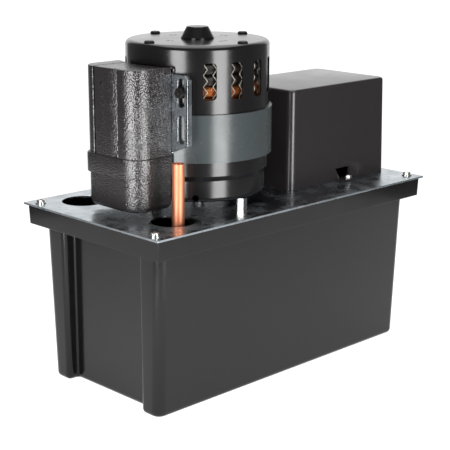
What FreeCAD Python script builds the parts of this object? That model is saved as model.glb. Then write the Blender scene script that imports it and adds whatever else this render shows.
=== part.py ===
import FreeCAD, Part
import math
import os

import Sketcher

# A condensate pump: an upright tank, a sheet lid with two inlet holes, a vertical motor that stands on
# the lid and drives a pump near the tank's floor, and a float that works a switch under a cover.
# X runs along the tank, Y across it, Z is up. The origin is the middle of the tank's foot.

doc = FreeCAD.newDocument("condensate_pump")
sheet = doc.addObject("Spreadsheet::Sheet", "Dim")

SIZES = {
    # Tank
    "tank_length": 305.8, "tank_width": 156.8, "tank_height": 144.5, "tank_wall": 3.0,
    "rim_height": 15.9, "rim_taper": 0.6, "rim_step": 8.2, "end_draft": 1.2, "side_draft": 4.8,
    "recess_width": 89.0, "recess_depth": 10.5, "corner_radius": 8.0, "recess_edge_radius": 4.5,
    "recess_root_radius": 2.0, "foot_radius": 4.0, "boss_radius": 4.6, "pilot_depth": 12.0,
    # Lid
    "lid_overhang": 2.6, "lid_thick": 1.5, "inlet_radius": 17.46, "rear_inlet_inset": 34.9,
    "rear_inlet_y": 51.5, "front_inlet_inset": 42.9, "front_inlet_y": -46.5,
    "lid_screw_inset_x": 8.0, "lid_screw_inset_y": 12.0, "lid_screw_radius": 1.6, "lid_head_radius": 4.3,
    "lid_head_height": 2.9,
    # Motor
    "motor_x": -40.5, "motor_gap": 7.5, "shell_radius": 57.3, "shell_wall": 1.5, "shell_edge_radius": 4.0,
    "bottom_shell_height": 32.0, "bead_height": 21.0, "bead_run": 4.0, "bead_step": 1.6,
    "stack_height": 37.0, "stack_radius": 59.5, "top_shell_height": 52.1, "stator_bore": 29.0,
    "stator_slot_depth": 14.0, "stator_slot_width": 4.0, "stator_slots": 24, "air_gap": 0.4,
    "vent_width": 10.6, "vent_height": 28.0, "vent_drop": 13.0, "vent_radius": 3.2, "vent_pitch": 22.5,
    "vent_count": 13, "vent_first": -123.75, "drain_radius": 2.6, "drain_lift": 3.8, "drain_turn": 45.0,
    "winding_outer": 47.0, "winding_inner": 33.5, "winding_edge_radius": 4.0,
    "upper_winding_height": 33.0, "lower_winding_height": 15.5,
    "bolt_circle": 50.5, "bolt_radius": 2.4, "bolt_head_radius": 4.4, "bolt_head_height": 1.8,
    "spacer_flats": 7.4, "nut_flats": 8.0, "nut_height": 4.0,
    "shaft_radius": 4.76, "shaft_chamfer": 0.8, "bearing_radius": 11.0, "bearing_length": 11.0,
    "bearing_chamfer": 0.6, "cap_radius": 13.2, "cap_top_radius": 8.6, "cap_height": 10.0, "cap_rim": 1.0,
    "cap_crown": 0.5, "cap_edge_radius": 1.2, "cap_hole_radius": 6.5, "rotor_ring_height": 6.0,
    "rotor_fin_height": 8.0, "rotor_fin_thick": 1.8, "rotor_fin_margin": 0.5, "rotor_fins": 9,
    "washer_radius": 9.0, "washer_thick": 1.0,
    # Junction box on the motor's side
    "box_gap": 5.0, "box_reach": 91.5, "base_reach": 51.5, "back_wall_reach": 65.5, "box_near_y": -25.0,
    "foot_far_y": 27.0, "collar_far_y": 34.0, "cover_far_y": 21.0, "back_far_y": 33.0, "foot_inset": 1.0,
    "foot_height": 25.0, "collar_height": 16.0, "collar_lip": 2.0, "collar_reach": 0.5, "cover_height": 67.0,
    "box_wall": 2.6, "box_corner_radius": 11.0, "far_corner_radius": 3.0, "cover_edge_radius": 0.8,
    "foot_edge": 5.0, "collar_edge": 1.2, "panel_edge_y": -10.0, "panel_run": 8.0, "panel_step": 1.0,
    "back_inset": 6.5, "back_corner_radius": 6.0, "back_top_radius": 2.5,
    "relay_length": 18.0, "relay_width": 34.0, "relay_height": 44.0, "relay_gap": 3.0, "relay_clear": 0.4,
    "strap_half_angle": 28.0, "bracket_thick": 1.5, "bracket_half_width": 46.0, "bracket_rise": 8.0,
    "bracket_height": 60.5, "bracket_flange": 6.0, "bracket_corner": 4.0, "bracket_cut": 7.5,
    "bracket_slot_width": 9.0, "bracket_slot_height": 20.0, "bracket_slot_pitch": 28.0, "bracket_slot_drop": 1.5,
    "bracket_slot_inset": 2.0, "bracket_slot_radius": 3.5, "bracket_screw_drop": 12.5, "bracket_screw_radius": 2.0,
    "bracket_screw_length": 9.0, "bracket_nut_radius": 4.8, "bracket_nut_height": 3.0, "bracket_head_radius": 5.2,
    "bracket_head_height": 2.4,
    # Control box
    "control_x": 26.0, "control_inset": 8.4, "control_width": 83.8, "control_height": 84.0,
    "control_draft": 1.2, "control_wall": 2.5, "control_corner_radius": 7.0, "control_top_radius": 2.5,
    "control_screw_inset": 49.5, "control_tab_reach": 8.0, "control_tab_width": 15.0, "control_tab_thick": 2.0,
    "control_notch_height": 11.0, "control_notch_slant": 5.0, "control_screw_radius": 1.6,
    "control_head_radius": 3.6, "control_head_height": 2.4,
    # Pump under the lid
    "column_radius": 17.0, "column_bore": 13.5, "column_flange_radius": 56.0, "column_flange_thick": 4.0,
    "pump_top": 38.0, "pump_flange_radius": 44.0, "pump_flange_thick": 4.0, "volute_height": 19.0,
    "volute_radius": 29.0, "volute_growth": 2.6, "volute_wall": 3.0, "volute_bore": 15.0,
    "rib_height": 28.0, "rib_thick": 3.0, "window_width": 8.0, "window_rise": 8.0, "window_height": 22.0,
    "pump_screw_circle": 41.0, "pump_screw_turn": 20.0, "pump_screw_radius": 1.6, "pump_head_radius": 3.2,
    "pump_head_height": 2.2, "pump_lug_radius": 4.5, "pump_lug_web": 6.0,
    "impeller_radius": 24.0, "impeller_height": 9.0, "impeller_disc": 2.5, "vane_count": 6, "vane_thick": 1.6,
    "hub_radius": 8.5, "impeller_head_radius": 3.4, "impeller_head_height": 2.0, "impeller_screw_length": 9.0,
    "screen_radius": 27.0, "screen_height": 8.5, "screen_wall": 2.0, "screen_slots": 16, "screen_slot_width": 2.6,
    "nozzle_radius": 9.0, "nozzle_length": 26.0, "nozzle_offset": 18.0, "nozzle_reach": 46.0,
    # Discharge tube
    "tube_radius": 4.7625, "tube_wall": 0.9, "tube_offset_x": 1.0, "tube_offset_y": -3.5, "tube_rise": 44.8,
    "tube_bend": 20.0, "tube_socket": 8.0, "tube_seat": 7.5, "tube_lean": 1.3, "tube_nut_flats": 16.0,
    "tube_nut_length": 12.0,
    # Float and switch
    "rod_inset": 52.9, "rod_radius": 1.6, "rod_end": 8.0, "rod_foot": 4.0, "rod_collar_radius": 4.0,
    "rod_collar_length": 3.0, "float_length": 52.0, "float_width": 82.0, "float_height": 36.0,
    "float_lift": 12.0, "float_travel": 24.0, "float_edge_radius": 8.0, "float_top_radius": 3.0,
    "guide_radius": 6.0, "guide_depth": 4.0, "guide_cap": 3.0, "pivot_x": 46.0, "pivot_rise": 31.5,
    "lever_width": 8.0, "lever_thick": 1.2, "lever_tail": 8.0, "lever_nose": 5.0, "fork_depth": 4.0,
    "pin_radius": 1.5, "barrel_radius": 3.0, "ear_thick": 1.5, "ear_back": 16.0, "ear_front": 14.0,
    "ear_shoulder": 14.0, "ear_top_half": 5.0, "ear_top_rise": 4.0, "button_reach": 6.0, "button_radius": 1.4,
    "button_well": 6.0, "switch_length": 27.8, "switch_height": 15.9, "switch_width": 10.3, "switch_rise": 10.5,
    "switch_hole_reach": 11.0, "switch_hole_radius": 1.6, "switch_screw_radius": 1.4, "switch_head_radius": 2.8,
    "switch_head_height": 2.0, "blade_pitch": 10.0, "blade_thick": 0.8, "blade_width": 6.0, "blade_length": 7.0,
    # Clearances
    "running_fit": 0.04, "slide_fit": 0.12, "hole_clear": 0.3, "seat_gap": 0.3,
}

for row, (word, size) in enumerate(SIZES.items(), start=1):
    sheet.set("A%d" % row, word)
    sheet.set("B%d" % row, str(size))
    sheet.setAlias("B%d" % row, word)
doc.recompute()


def number(expression):
    """The value that an expression on the sheet has now, as a plain number."""
    result = sheet.evalExpression(expression.replace("Dim.", ""))
    return float(getattr(result, "Value", result))


def bind(item, **sizes):
    """Bind an object's sizes to expressions on the sheet."""
    for name, expression in sizes.items():
        item.setExpression(name, expression)


def place(item, x="0", y="0", z="0"):
    """Bind an object's place to expressions on the sheet."""
    bind(item, **{"Placement.Base.x": x, "Placement.Base.y": y, "Placement.Base.z": z})
    return item


# Bodies, sketches and features

def new_body(label, x="0", y="0", z="0"):
    body = doc.addObject("PartDesign::Body", label)
    body.Label = label
    return place(body, x, y, z)


def new_sketch(body, name, plane="XY_Plane", lift="0"):
    sketch = body.newObject("Sketcher::SketchObject", name)
    support = next(item for item in body.Origin.OriginFeatures if item.Role == plane)
    sketch.AttachmentSupport = (support, [""])
    sketch.MapMode = "FlatFace"
    sketch.setExpression("AttachmentOffset.Base.z", lift)
    return sketch


def pin(sketch, curve, point, x, y):
    """Hold a point of a curve at x and y from the sketch's origin."""
    for kind, expression in (("DistanceX", x), ("DistanceY", y)):
        index = sketch.addConstraint(Sketcher.Constraint(kind, -1, 1, curve, point, number(expression)))
        sketch.setExpression("Constraints[%d]" % index, expression)


def polygon(sketch, corners):
    """A closed outline of straight sides through the corners."""
    points = [FreeCAD.Vector(number(x), number(y), 0) for x, y in corners]
    first = sketch.GeometryCount
    count = len(points)
    for index, point in enumerate(points):
        sketch.addGeometry(Part.LineSegment(point, points[(index + 1) % count]), False)
    for index in range(count):
        following = first + (index + 1) % count
        sketch.addConstraint(Sketcher.Constraint("Coincident", first + index, 2, following, 1))
    for index, (x, y) in enumerate(corners):
        pin(sketch, first + index, 1, x, y)


def rectangle(sketch, x0, y0, x1, y1):
    polygon(sketch, [(x0, y0), (x1, y0), (x1, y1), (x0, y1)])


def round_rectangle(sketch, x0, y0, x1, y1, radius):
    """A closed outline with four round corners."""
    left, low, right, high = ["%s + %s" % (edge, radius) for edge in (x0, y0)] + \
        ["%s - %s" % (edge, radius) for edge in (x1, y1)]
    sides = [((left, y0), (right, y0)), ((x1, low), (x1, high)), ((right, y1), (left, y1)), ((x0, high), (x0, low))]
    centres = [(right, low), (right, high), (left, high), (left, low)]
    spans = [(-90, 0), (0, 90), (90, 180), (180, 270)]
    first = sketch.GeometryCount
    for start, end in sides:
        ends = [FreeCAD.Vector(number(x), number(y), 0) for x, y in (start, end)]
        sketch.addGeometry(Part.LineSegment(*ends), False)
    for (x, y), (start, end) in zip(centres, spans):
        whole = Part.Circle(FreeCAD.Vector(number(x), number(y), 0), FreeCAD.Vector(0, 0, 1), number(radius))
        sketch.addGeometry(Part.ArcOfCircle(whole, math.radians(start), math.radians(end)), False)
    for index, (start, end) in enumerate(sides):
        pin(sketch, first + index, 1, *start)
        pin(sketch, first + index, 2, *end)
    for index in range(4):
        arc = first + 4 + index
        sketch.addConstraint(Sketcher.Constraint("Coincident", first + index, 2, arc, 1))
        sketch.addConstraint(Sketcher.Constraint("Coincident", arc, 2, first + (index + 1) % 4, 1))
        held = sketch.addConstraint(Sketcher.Constraint("Radius", arc, number(radius)))
        sketch.setExpression("Constraints[%d]" % held, radius)


def circle(sketch, x, y, radius):
    whole = Part.Circle(FreeCAD.Vector(number(x), number(y), 0), FreeCAD.Vector(0, 0, 1), number(radius))
    curve = sketch.addGeometry(whole, False)
    pin(sketch, curve, 3, x, y)
    held = sketch.addConstraint(Sketcher.Constraint("Radius", curve, number(radius)))
    sketch.setExpression("Constraints[%d]" % held, radius)


def pad(body, name, sketch, length, backward=False):
    feature = body.newObject("PartDesign::Pad", name)
    feature.Profile = sketch
    feature.Reversed = backward
    bind(feature, Length=length)
    return feature


def pocket(body, name, sketch, length, backward=False):
    feature = body.newObject("PartDesign::Pocket", name)
    feature.Profile = sketch
    feature.Reversed = backward
    bind(feature, Length=length)
    return feature


def revolve(body, name, sketch, angle=360):
    feature = body.newObject("PartDesign::Revolution", name)
    feature.Profile = sketch
    feature.ReferenceAxis = (sketch, ["V_Axis"])
    feature.Angle = angle
    feature.Midplane = angle < 360
    return feature


def polar(body, name, feature, count, angle=360.0):
    """Repeat a feature about the body's own Z axis."""
    axis = next(item for item in body.Origin.OriginFeatures if item.Role == "Z_Axis")
    pattern = body.newObject("PartDesign::PolarPattern", name)
    pattern.Originals = [feature]
    pattern.Axis = (axis, [""])
    pattern.Angle = angle
    pattern.Occurrences = count
    body.Tip = pattern
    return pattern


def mirrored(body, name, feature, plane="XZ_Plane"):
    support = next(item for item in body.Origin.OriginFeatures if item.Role == plane)
    pattern = body.newObject("PartDesign::Mirrored", name)
    pattern.Originals = [feature]
    pattern.MirrorPlane = (support, [""])
    body.Tip = pattern
    return pattern


def round_edges(body, name, radius, wanted):
    """Fillet the edges of the body's last feature that a test on middle point and direction picks."""
    doc.recompute()
    base = body.Tip
    picked = []
    for index, edge in enumerate(base.Shape.Edges, start=1):
        if edge.Degenerated:
            continue
        middle = edge.valueAt((edge.FirstParameter + edge.LastParameter) / 2)
        along = edge.tangentAt((edge.FirstParameter + edge.LastParameter) / 2)
        if wanted(middle, along):
            picked.append("Edge%d" % index)
    feature = body.newObject("PartDesign::Fillet", name)
    feature.Base = (base, picked)
    bind(feature, Radius=radius)
    return feature


def draft_faces(body, name, angle, wanted, neutral, backward=False):
    """Lean the flat faces that a test on centre and normal picks, hinged where they meet a flat face."""
    doc.recompute()
    base = body.Tip
    picked, plane = [], None
    for index, face in enumerate(base.Shape.Faces, start=1):
        middle, normal = face.CenterOfMass, face.normalAt(0, 0)
        if wanted(middle, normal):
            picked.append("Face%d" % index)
        if neutral(middle, normal):
            plane = "Face%d" % index
    feature = body.newObject("PartDesign::Draft", name)
    feature.Base = (base, picked)
    feature.NeutralPlane = (base, [plane])
    feature.Reversed = backward
    bind(feature, Angle=angle)
    return feature


def near(one, other, room=0.6):
    return abs(one - other) < room


# Plain solids and what joins or cuts them

def cylinder(name, radius, height, x="0", y="0", z="0"):
    item = doc.addObject("Part::Cylinder", name)
    bind(item, Radius=radius, Height=height)
    return place(item, x, y, z)


def cone(name, low, high, height, x="0", y="0", z="0"):
    item = doc.addObject("Part::Cone", name)
    bind(item, Radius1=low, Radius2=high, Height=height)
    return place(item, x, y, z)


def block(name, length, width, height, x="0", y="0", z="0"):
    item = doc.addObject("Part::Box", name)
    bind(item, Length=length, Width=width, Height=height)
    return place(item, x, y, z)


def hexagon(name, flats, height, x="0", y="0", z="0"):
    item = doc.addObject("Part::Prism", name)
    item.Polygon = 6
    bind(item, Circumradius="%s / sqrt(3)" % flats, Height=height)
    return place(item, x, y, z)


def fuse(label, items):
    item = doc.addObject("Part::MultiFuse", label)
    item.Shapes = items
    item.Label = label
    return item


def cut(label, base, tool):
    item = doc.addObject("Part::Cut", label)
    item.Base = base
    item.Tool = tool
    item.Label = label
    return item


def group(label, items):
    """Like pieces that share a node, each a solid of its own."""
    item = doc.addObject("Part::Compound", label)
    item.Links = items
    item.Label = label
    return item


def shaped(label, shape, spot=FreeCAD.Vector(), turn=FreeCAD.Rotation()):
    """A piece whose shape neither a sketch feature nor a plain solid gives, set at a spot and a turn."""
    item = doc.addObject("Part::Feature", label)
    item.Shape = shape
    item.Label = label
    item.Placement = FreeCAD.Placement(spot, turn)
    return item


nodes = []


def keep(*items):
    nodes.extend(items)


# Heights that several pieces share

RIM_LOW = "(Dim.tank_height - Dim.rim_height)"
LID_TOP = "(Dim.tank_height + Dim.lid_thick)"
SHELL_LOW = "(%s + Dim.motor_gap)" % LID_TOP
STACK_LOW = "(%s + Dim.bottom_shell_height)" % SHELL_LOW
STACK_TOP = "(%s + Dim.stack_height)" % STACK_LOW
SHELL_TOP = "(%s + Dim.top_shell_height)" % STACK_TOP
PUMP_TOP = "Dim.pump_top"
VOLUTE_TOP = "(Dim.pump_top - Dim.pump_flange_thick)"
VOLUTE_LOW = "(%s - Dim.volute_height)" % VOLUTE_TOP
BOLT_HOLE = "(Dim.bolt_radius + Dim.hole_clear)"
STRAP_INNER = "(Dim.stack_radius + Dim.hole_clear)"
LID_LENGTH = "(Dim.tank_length + 2 * Dim.lid_overhang)"
LID_WIDTH = "(Dim.tank_width + 2 * Dim.lid_overhang)"
REAR_INLET_X = "(Dim.rear_inlet_inset - Dim.tank_length / 2)"
FRONT_INLET_X = "(Dim.front_inlet_inset - Dim.tank_length / 2)"
CONTROL_END = "(Dim.tank_length / 2 - Dim.control_inset)"
CONTROL_LENGTH = "(%s - Dim.control_x)" % CONTROL_END
CONTROL_SCREW_X = "(%s - Dim.control_screw_inset)" % CONTROL_END
ROD_X = "(Dim.tank_length / 2 - Dim.rod_inset)"
PIVOT_Z = "(%s + Dim.pivot_rise)" % LID_TOP
SWITCH_LOW = "(%s + Dim.switch_rise)" % LID_TOP


def bolt_places():
    """The four bolt places round the motor's axis, on the long and the cross centre lines."""
    for step in range(4):
        yield ("Dim.bolt_circle * cos(%d)" % (90 * step), "Dim.bolt_circle * sin(%d)" % (90 * step))


def corner_places():
    """The lid's four corner screws."""
    for end in (-1, 1):
        for side in (-1, 1):
            yield ("%d * (%s / 2 - Dim.lid_screw_inset_x)" % (end, LID_LENGTH),
                   "%d * (%s / 2 - Dim.lid_screw_inset_y)" % (side, LID_WIDTH))


# Tank: a moulded box with draft, an end wall set back between two corner posts, and a stepped rim

def tank_outline(sketch, half_length, half_width, inset="0"):
    """The outline of the wall at one height, with a recess in each end."""
    a = "(%s - %s)" % (half_length, inset)
    b = "(%s - %s)" % (half_width, inset)
    w = "(Dim.recess_width / 2 + %s)" % inset
    d = "(%s - Dim.recess_depth)" % a
    right = [(a, "-" + w), (d, "-" + w), (d, w), (a, w), (a, b)]
    left = [("-" + x, y) for x, y in reversed(right)]
    polygon(sketch, [("-" + a, "-" + b), (a, "-" + b)] + right + left)


def make_tank():
    body = new_body("tank")
    half_length = "(Dim.tank_length / 2 - Dim.rim_taper - Dim.rim_step)"
    half_width = "(Dim.tank_width / 2 - Dim.rim_taper - Dim.rim_step)"
    end_angle = "atan(Dim.end_draft / %s)" % RIM_LOW
    side_angle = "atan(Dim.side_draft / %s)" % RIM_LOW
    x, y, wall, top = [number(word) for word in (half_length, half_width, "Dim.tank_wall", RIM_LOW)]
    recess = number("Dim.recess_width / 2")
    draft = number("Dim.side_draft") + 1

    outline = new_sketch(body, "wall_outline")
    tank_outline(outline, half_length, half_width)
    pad(body, "wall", outline, RIM_LOW)
    at_top = lambda c, n: near(c.z, top, 0.01) and n.z > 0.9
    draft_faces(body, "side_draft", side_angle, lambda c, n: near(abs(c.y), y, 0.01), at_top, True)
    draft_faces(body, "end_draft", end_angle, lambda c, n: near(abs(c.x), x, 0.01), at_top, True)
    round_edges(body, "post_corners", "Dim.corner_radius",
                lambda m, t: abs(t.z) > 0.9 and abs(m.y) > y - draft and abs(m.x) > x - 3)
    round_edges(body, "recess_edges", "Dim.recess_edge_radius",
                lambda m, t: abs(t.z) > 0.9 and near(abs(m.y), recess) and abs(m.x) > x - 3)
    round_edges(body, "recess_roots", "Dim.recess_root_radius",
                lambda m, t: abs(t.z) > 0.9 and near(abs(m.y), recess) and abs(m.x) < x - 5)
    round_edges(body, "foot_edge", "Dim.foot_radius", lambda m, t: near(m.z, 0, 0.01))

    rim = new_sketch(body, "rim_outline", lift=RIM_LOW)
    rectangle(rim, "-Dim.tank_length / 2", "-Dim.tank_width / 2", "Dim.tank_length / 2", "Dim.tank_width / 2")
    pad(body, "rim", rim, "Dim.rim_height")
    rim_x, rim_y, height = [number(word) for word in ("Dim.tank_length / 2", "Dim.tank_width / 2", "Dim.tank_height")]
    draft_faces(body, "rim_draft", "atan(Dim.rim_taper / Dim.rim_height)",
                lambda c, n: near(abs(c.x), rim_x, 0.01) or near(abs(c.y), rim_y, 0.01),
                lambda c, n: near(c.z, height, 0.01) and n.z > 0.9, True)

    ledge = new_sketch(body, "ledge_outline", lift="Dim.tank_height")
    rectangle(ledge, "-Dim.tank_length / 2 + Dim.tank_wall", "-Dim.tank_width / 2 + Dim.tank_wall",
              "Dim.tank_length / 2 - Dim.tank_wall", "Dim.tank_width / 2 - Dim.tank_wall")
    pocket(body, "rim_inside", ledge, "Dim.rim_height - Dim.tank_wall")
    low_x, low_y = "(%s - Dim.end_draft)" % half_length, "(%s - Dim.side_draft)" % half_width
    inner = new_sketch(body, "inside_outline", lift=RIM_LOW + " + Dim.tank_wall")
    tank_outline(inner, low_x, low_y, "Dim.tank_wall")
    pocket(body, "inside", inner, RIM_LOW)
    inner_x, inner_y = number(low_x + " - Dim.tank_wall"), number(low_y + " - Dim.tank_wall")
    on_floor = lambda c, n: near(c.z, wall, 0.01) and n.z > 0.9
    draft_faces(body, "inner_side_draft", side_angle,
                lambda c, n: near(abs(c.y), inner_y, 0.01) and abs(n.y) > 0.9 and c.z < top, on_floor)
    draft_faces(body, "inner_end_draft", end_angle,
                lambda c, n: near(abs(c.x), inner_x, 0.01) and abs(n.x) > 0.9 and c.z < top, on_floor)
    round_edges(body, "inner_corners", "Dim.corner_radius - Dim.tank_wall",
                lambda m, t: abs(t.z) > 0.9 and inner_y - 1 < abs(m.y) < inner_y + draft
                and abs(m.x) < inner_x + 2 and m.z < top - 10)

    bosses = new_sketch(body, "boss_outline", lift="%s + Dim.tank_wall / 2" % RIM_LOW)
    for x, y in corner_places():
        circle(bosses, x, y, "Dim.boss_radius")
    pad(body, "screw_bosses", bosses, "Dim.rim_height - Dim.tank_wall / 2")
    pilots = new_sketch(body, "pilot_outline", lift="Dim.tank_height")
    for x, y in corner_places():
        circle(pilots, x, y, "Dim.lid_screw_radius")
    pocket(body, "pilot_holes", pilots, "Dim.pilot_depth")
    keep(body)


make_tank()


# Lid: one flat plate with every hole that something passes through

def make_lid():
    body = new_body("lid_plate", z="Dim.tank_height")
    outline = new_sketch(body, "plate_outline")
    rectangle(outline, "-%s / 2" % LID_LENGTH, "-%s / 2" % LID_WIDTH, LID_LENGTH + " / 2", LID_WIDTH + " / 2")
    pad(body, "plate", outline, "Dim.lid_thick")
    holes = new_sketch(body, "hole_outline", lift="Dim.lid_thick")
    circle(holes, REAR_INLET_X, "Dim.rear_inlet_y", "Dim.inlet_radius")
    circle(holes, FRONT_INLET_X, "Dim.front_inlet_y", "Dim.inlet_radius")
    circle(holes, "Dim.motor_x", "0", "Dim.column_radius")
    circle(holes, ROD_X, "0", "Dim.guide_radius - 1.5")
    for x, y in bolt_places():
        circle(holes, "Dim.motor_x + " + x, y, BOLT_HOLE)
    for x, y in corner_places():
        circle(holes, x, y, "Dim.lid_screw_radius + Dim.hole_clear")
    for side in (-1, 1):
        circle(holes, CONTROL_SCREW_X, "%d * (Dim.control_width / 2 + Dim.control_tab_reach / 2)" % side,
               "Dim.control_screw_radius + Dim.hole_clear")
    pocket(body, "holes", holes, "Dim.lid_thick")
    keep(body)

    screws = []
    for index, (x, y) in enumerate(corner_places()):
        flange = cylinder("screw_flange%d" % index, "Dim.lid_head_radius", "Dim.lid_head_height / 3", x, y, LID_TOP)
        head = cone("screw_head%d" % index, "Dim.lid_head_radius - 0.5", "Dim.lid_head_radius - 1.2",
                    "Dim.lid_head_height * 2 / 3", x, y, "%s + Dim.lid_head_height / 3" % LID_TOP)
        shank = cylinder("screw_shank%d" % index, "Dim.lid_screw_radius - 0.1",
                         "Dim.lid_thick + Dim.pilot_depth - 1", x, y, "Dim.tank_height - Dim.pilot_depth + 1")
        screws.append(fuse("lid_screw%d" % index, [flange, head, shank]))
    keep(group("lid_screws", screws))


make_lid()


# Motor shells: drawn cups that clamp the stack between them, each with a cup for its bearing

def make_top_shell():
    body = new_body("motor_top_shell", x="Dim.motor_x")
    # The first vent slot is cut along the body's own minus Y, so the body is turned to bring it there
    body.Placement.Rotation = FreeCAD.Rotation(FreeCAD.Vector(0, 0, 1), 10)
    body.setExpression("Placement.Rotation.Angle", "(Dim.vent_first + 90) * 1 deg")
    inner = "Dim.shell_radius - Dim.shell_wall"
    under = "%s - Dim.shell_wall" % SHELL_TOP
    cup_low = "%s - Dim.bearing_length - 3" % under
    cup = "Dim.bearing_radius + Dim.shell_wall"
    profile = new_sketch(body, "shell_profile", "XZ_Plane")
    polygon(profile, [(inner, STACK_TOP), ("Dim.shell_radius", STACK_TOP), ("Dim.shell_radius", SHELL_TOP),
                      ("Dim.cap_hole_radius", SHELL_TOP), ("Dim.cap_hole_radius", under),
                      ("Dim.bearing_radius", under), ("Dim.bearing_radius", cup_low), (cup, cup_low),
                      (cup, under), (inner, under)])
    revolve(body, "shell", profile)
    top = number(SHELL_TOP)
    outer, wall = number("Dim.shell_radius"), number("Dim.shell_wall")
    round_edges(body, "outer_edge", "Dim.shell_edge_radius",
                lambda m, t: near(m.z, top, 0.01) and near(math.hypot(m.x, m.y), outer, 0.01))
    round_edges(body, "inner_edge", "Dim.shell_edge_radius - Dim.shell_wall",
                lambda m, t: near(m.z, top - wall, 0.01) and near(math.hypot(m.x, m.y), outer - wall, 0.01))
    bolts = new_sketch(body, "bolt_outline", lift=SHELL_TOP)
    for step in range(4):
        turn = "(%d - Dim.vent_first - 90)" % (90 * step)
        circle(bolts, "Dim.bolt_circle * cos%s" % turn, "Dim.bolt_circle * sin%s" % turn, BOLT_HOLE)
    pocket(body, "bolt_holes", bolts, "Dim.shell_wall")
    vent = new_sketch(body, "vent_outline", "XZ_Plane")
    vent_top = "%s - Dim.vent_drop" % SHELL_TOP
    round_rectangle(vent, "-Dim.vent_width / 2", "%s - Dim.vent_height" % vent_top, "Dim.vent_width / 2", vent_top,
                    "Dim.vent_radius")
    slot = pocket(body, "vent_slot", vent, "Dim.shell_radius + 5", backward=True)
    pattern = polar(body, "vent_slots", slot, SIZES["vent_count"],
                    SIZES["vent_pitch"] * (SIZES["vent_count"] - 1))
    bind(pattern, Occurrences="Dim.vent_count", Angle="Dim.vent_pitch * (Dim.vent_count - 1)")
    keep(body)


def make_bottom_shell():
    body = new_body("motor_bottom_shell", x="Dim.motor_x")
    # The body is turned so that its drain holes stand between the bolts
    body.Placement.Rotation = FreeCAD.Rotation(FreeCAD.Vector(0, 0, 1), 10)
    body.setExpression("Placement.Rotation.Angle", "Dim.drain_turn * 1 deg")
    wall = "Dim.shell_wall"
    lower = "Dim.shell_radius - 0.3 - Dim.bead_step"
    bead_top = "%s + Dim.bead_height" % SHELL_LOW
    bead_low = "%s - Dim.bead_run" % bead_top
    cup = "Dim.bearing_radius + Dim.shell_wall"
    cup_top = "%s + Dim.shell_wall + Dim.bearing_length + 1" % SHELL_LOW
    floor = "%s + Dim.shell_wall" % SHELL_LOW
    profile = new_sketch(body, "shell_profile", "XZ_Plane")
    polygon(profile, [("Dim.shell_radius - 0.3", STACK_LOW), ("Dim.shell_radius - 0.3 - %s" % wall, STACK_LOW),
                      ("Dim.shell_radius - 0.3 - %s" % wall, bead_top), ("%s - %s" % (lower, wall), bead_low),
                      ("%s - %s" % (lower, wall), floor), (cup, floor), (cup, cup_top),
                      ("Dim.bearing_radius", cup_top), ("Dim.bearing_radius", floor),
                      ("Dim.cap_hole_radius", floor), ("Dim.cap_hole_radius", SHELL_LOW),
                      (lower, SHELL_LOW), (lower, bead_low), ("Dim.shell_radius - 0.3", bead_top)])
    revolve(body, "shell", profile)
    low, radius, thick = number(SHELL_LOW), number(lower), number("Dim.shell_wall")
    round_edges(body, "outer_edge", "Dim.shell_edge_radius",
                lambda m, t: near(m.z, low, 0.01) and near(math.hypot(m.x, m.y), radius, 0.01))
    round_edges(body, "inner_edge", "Dim.shell_edge_radius - Dim.shell_wall",
                lambda m, t: near(m.z, low + thick, 0.01) and near(math.hypot(m.x, m.y), radius - thick, 0.01))
    bolts = new_sketch(body, "bolt_outline", lift=floor + " + Dim.shell_edge_radius")
    for step in range(4):
        turn = "(%d - Dim.drain_turn)" % (90 * step)
        circle(bolts, "Dim.bolt_circle * cos%s" % turn, "Dim.bolt_circle * sin%s" % turn, BOLT_HOLE)
    pocket(body, "bolt_holes", bolts, wall + " + Dim.shell_edge_radius")
    drain = new_sketch(body, "drain_outline", "XZ_Plane")
    circle(drain, "0", "%s + Dim.drain_lift" % SHELL_LOW, "Dim.drain_radius")
    hole = pocket(body, "drain_hole", drain, "Dim.shell_radius + 5", backward=True)
    polar(body, "drain_holes", hole, 4)
    keep(body)


make_top_shell()
make_bottom_shell()


# Stator: a painted ring of laminations with open slots, and its end turns above and below

def make_stator():
    body = new_body("stator_stack", x="Dim.motor_x", z=STACK_LOW)
    ring = new_sketch(body, "ring_outline")
    circle(ring, "0", "0", "Dim.stack_radius")
    circle(ring, "0", "0", "Dim.stator_bore")
    for x, y in bolt_places():
        circle(ring, x, y, BOLT_HOLE)
    pad(body, "ring", ring, "Dim.stack_height")
    tooth = new_sketch(body, "slot_outline", lift="Dim.stack_height")
    polygon(tooth, [("Dim.stator_bore - 1", "-Dim.stator_slot_width / 4"),
                    ("Dim.stator_bore + 2", "-Dim.stator_slot_width / 4"),
                    ("Dim.stator_bore + 4", "-Dim.stator_slot_width / 2"),
                    ("Dim.stator_bore + Dim.stator_slot_depth", "-Dim.stator_slot_width * 0.8"),
                    ("Dim.stator_bore + Dim.stator_slot_depth", "Dim.stator_slot_width * 0.8"),
                    ("Dim.stator_bore + 4", "Dim.stator_slot_width / 2"),
                    ("Dim.stator_bore + 2", "Dim.stator_slot_width / 4"),
                    ("Dim.stator_bore - 1", "Dim.stator_slot_width / 4")])
    slot = pocket(body, "winding_slot", tooth, "Dim.stack_height")
    pattern = polar(body, "winding_slots", slot, SIZES["stator_slots"])
    bind(pattern, Occurrences="Dim.stator_slots")
    keep(body)

    for label, low, height in (("upper_winding", STACK_TOP, "Dim.upper_winding_height"),
                               ("lower_winding", "(%s - Dim.lower_winding_height)" % STACK_LOW,
                                "Dim.lower_winding_height")):
        coil = new_body(label, x="Dim.motor_x", z=low)
        profile = new_sketch(coil, label + "_profile", "XZ_Plane")
        round_rectangle(profile, "Dim.winding_inner", "0", "Dim.winding_outer", height, "Dim.winding_edge_radius")
        revolve(coil, label + "_ring", profile)
        keep(coil)


make_stator()


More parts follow.
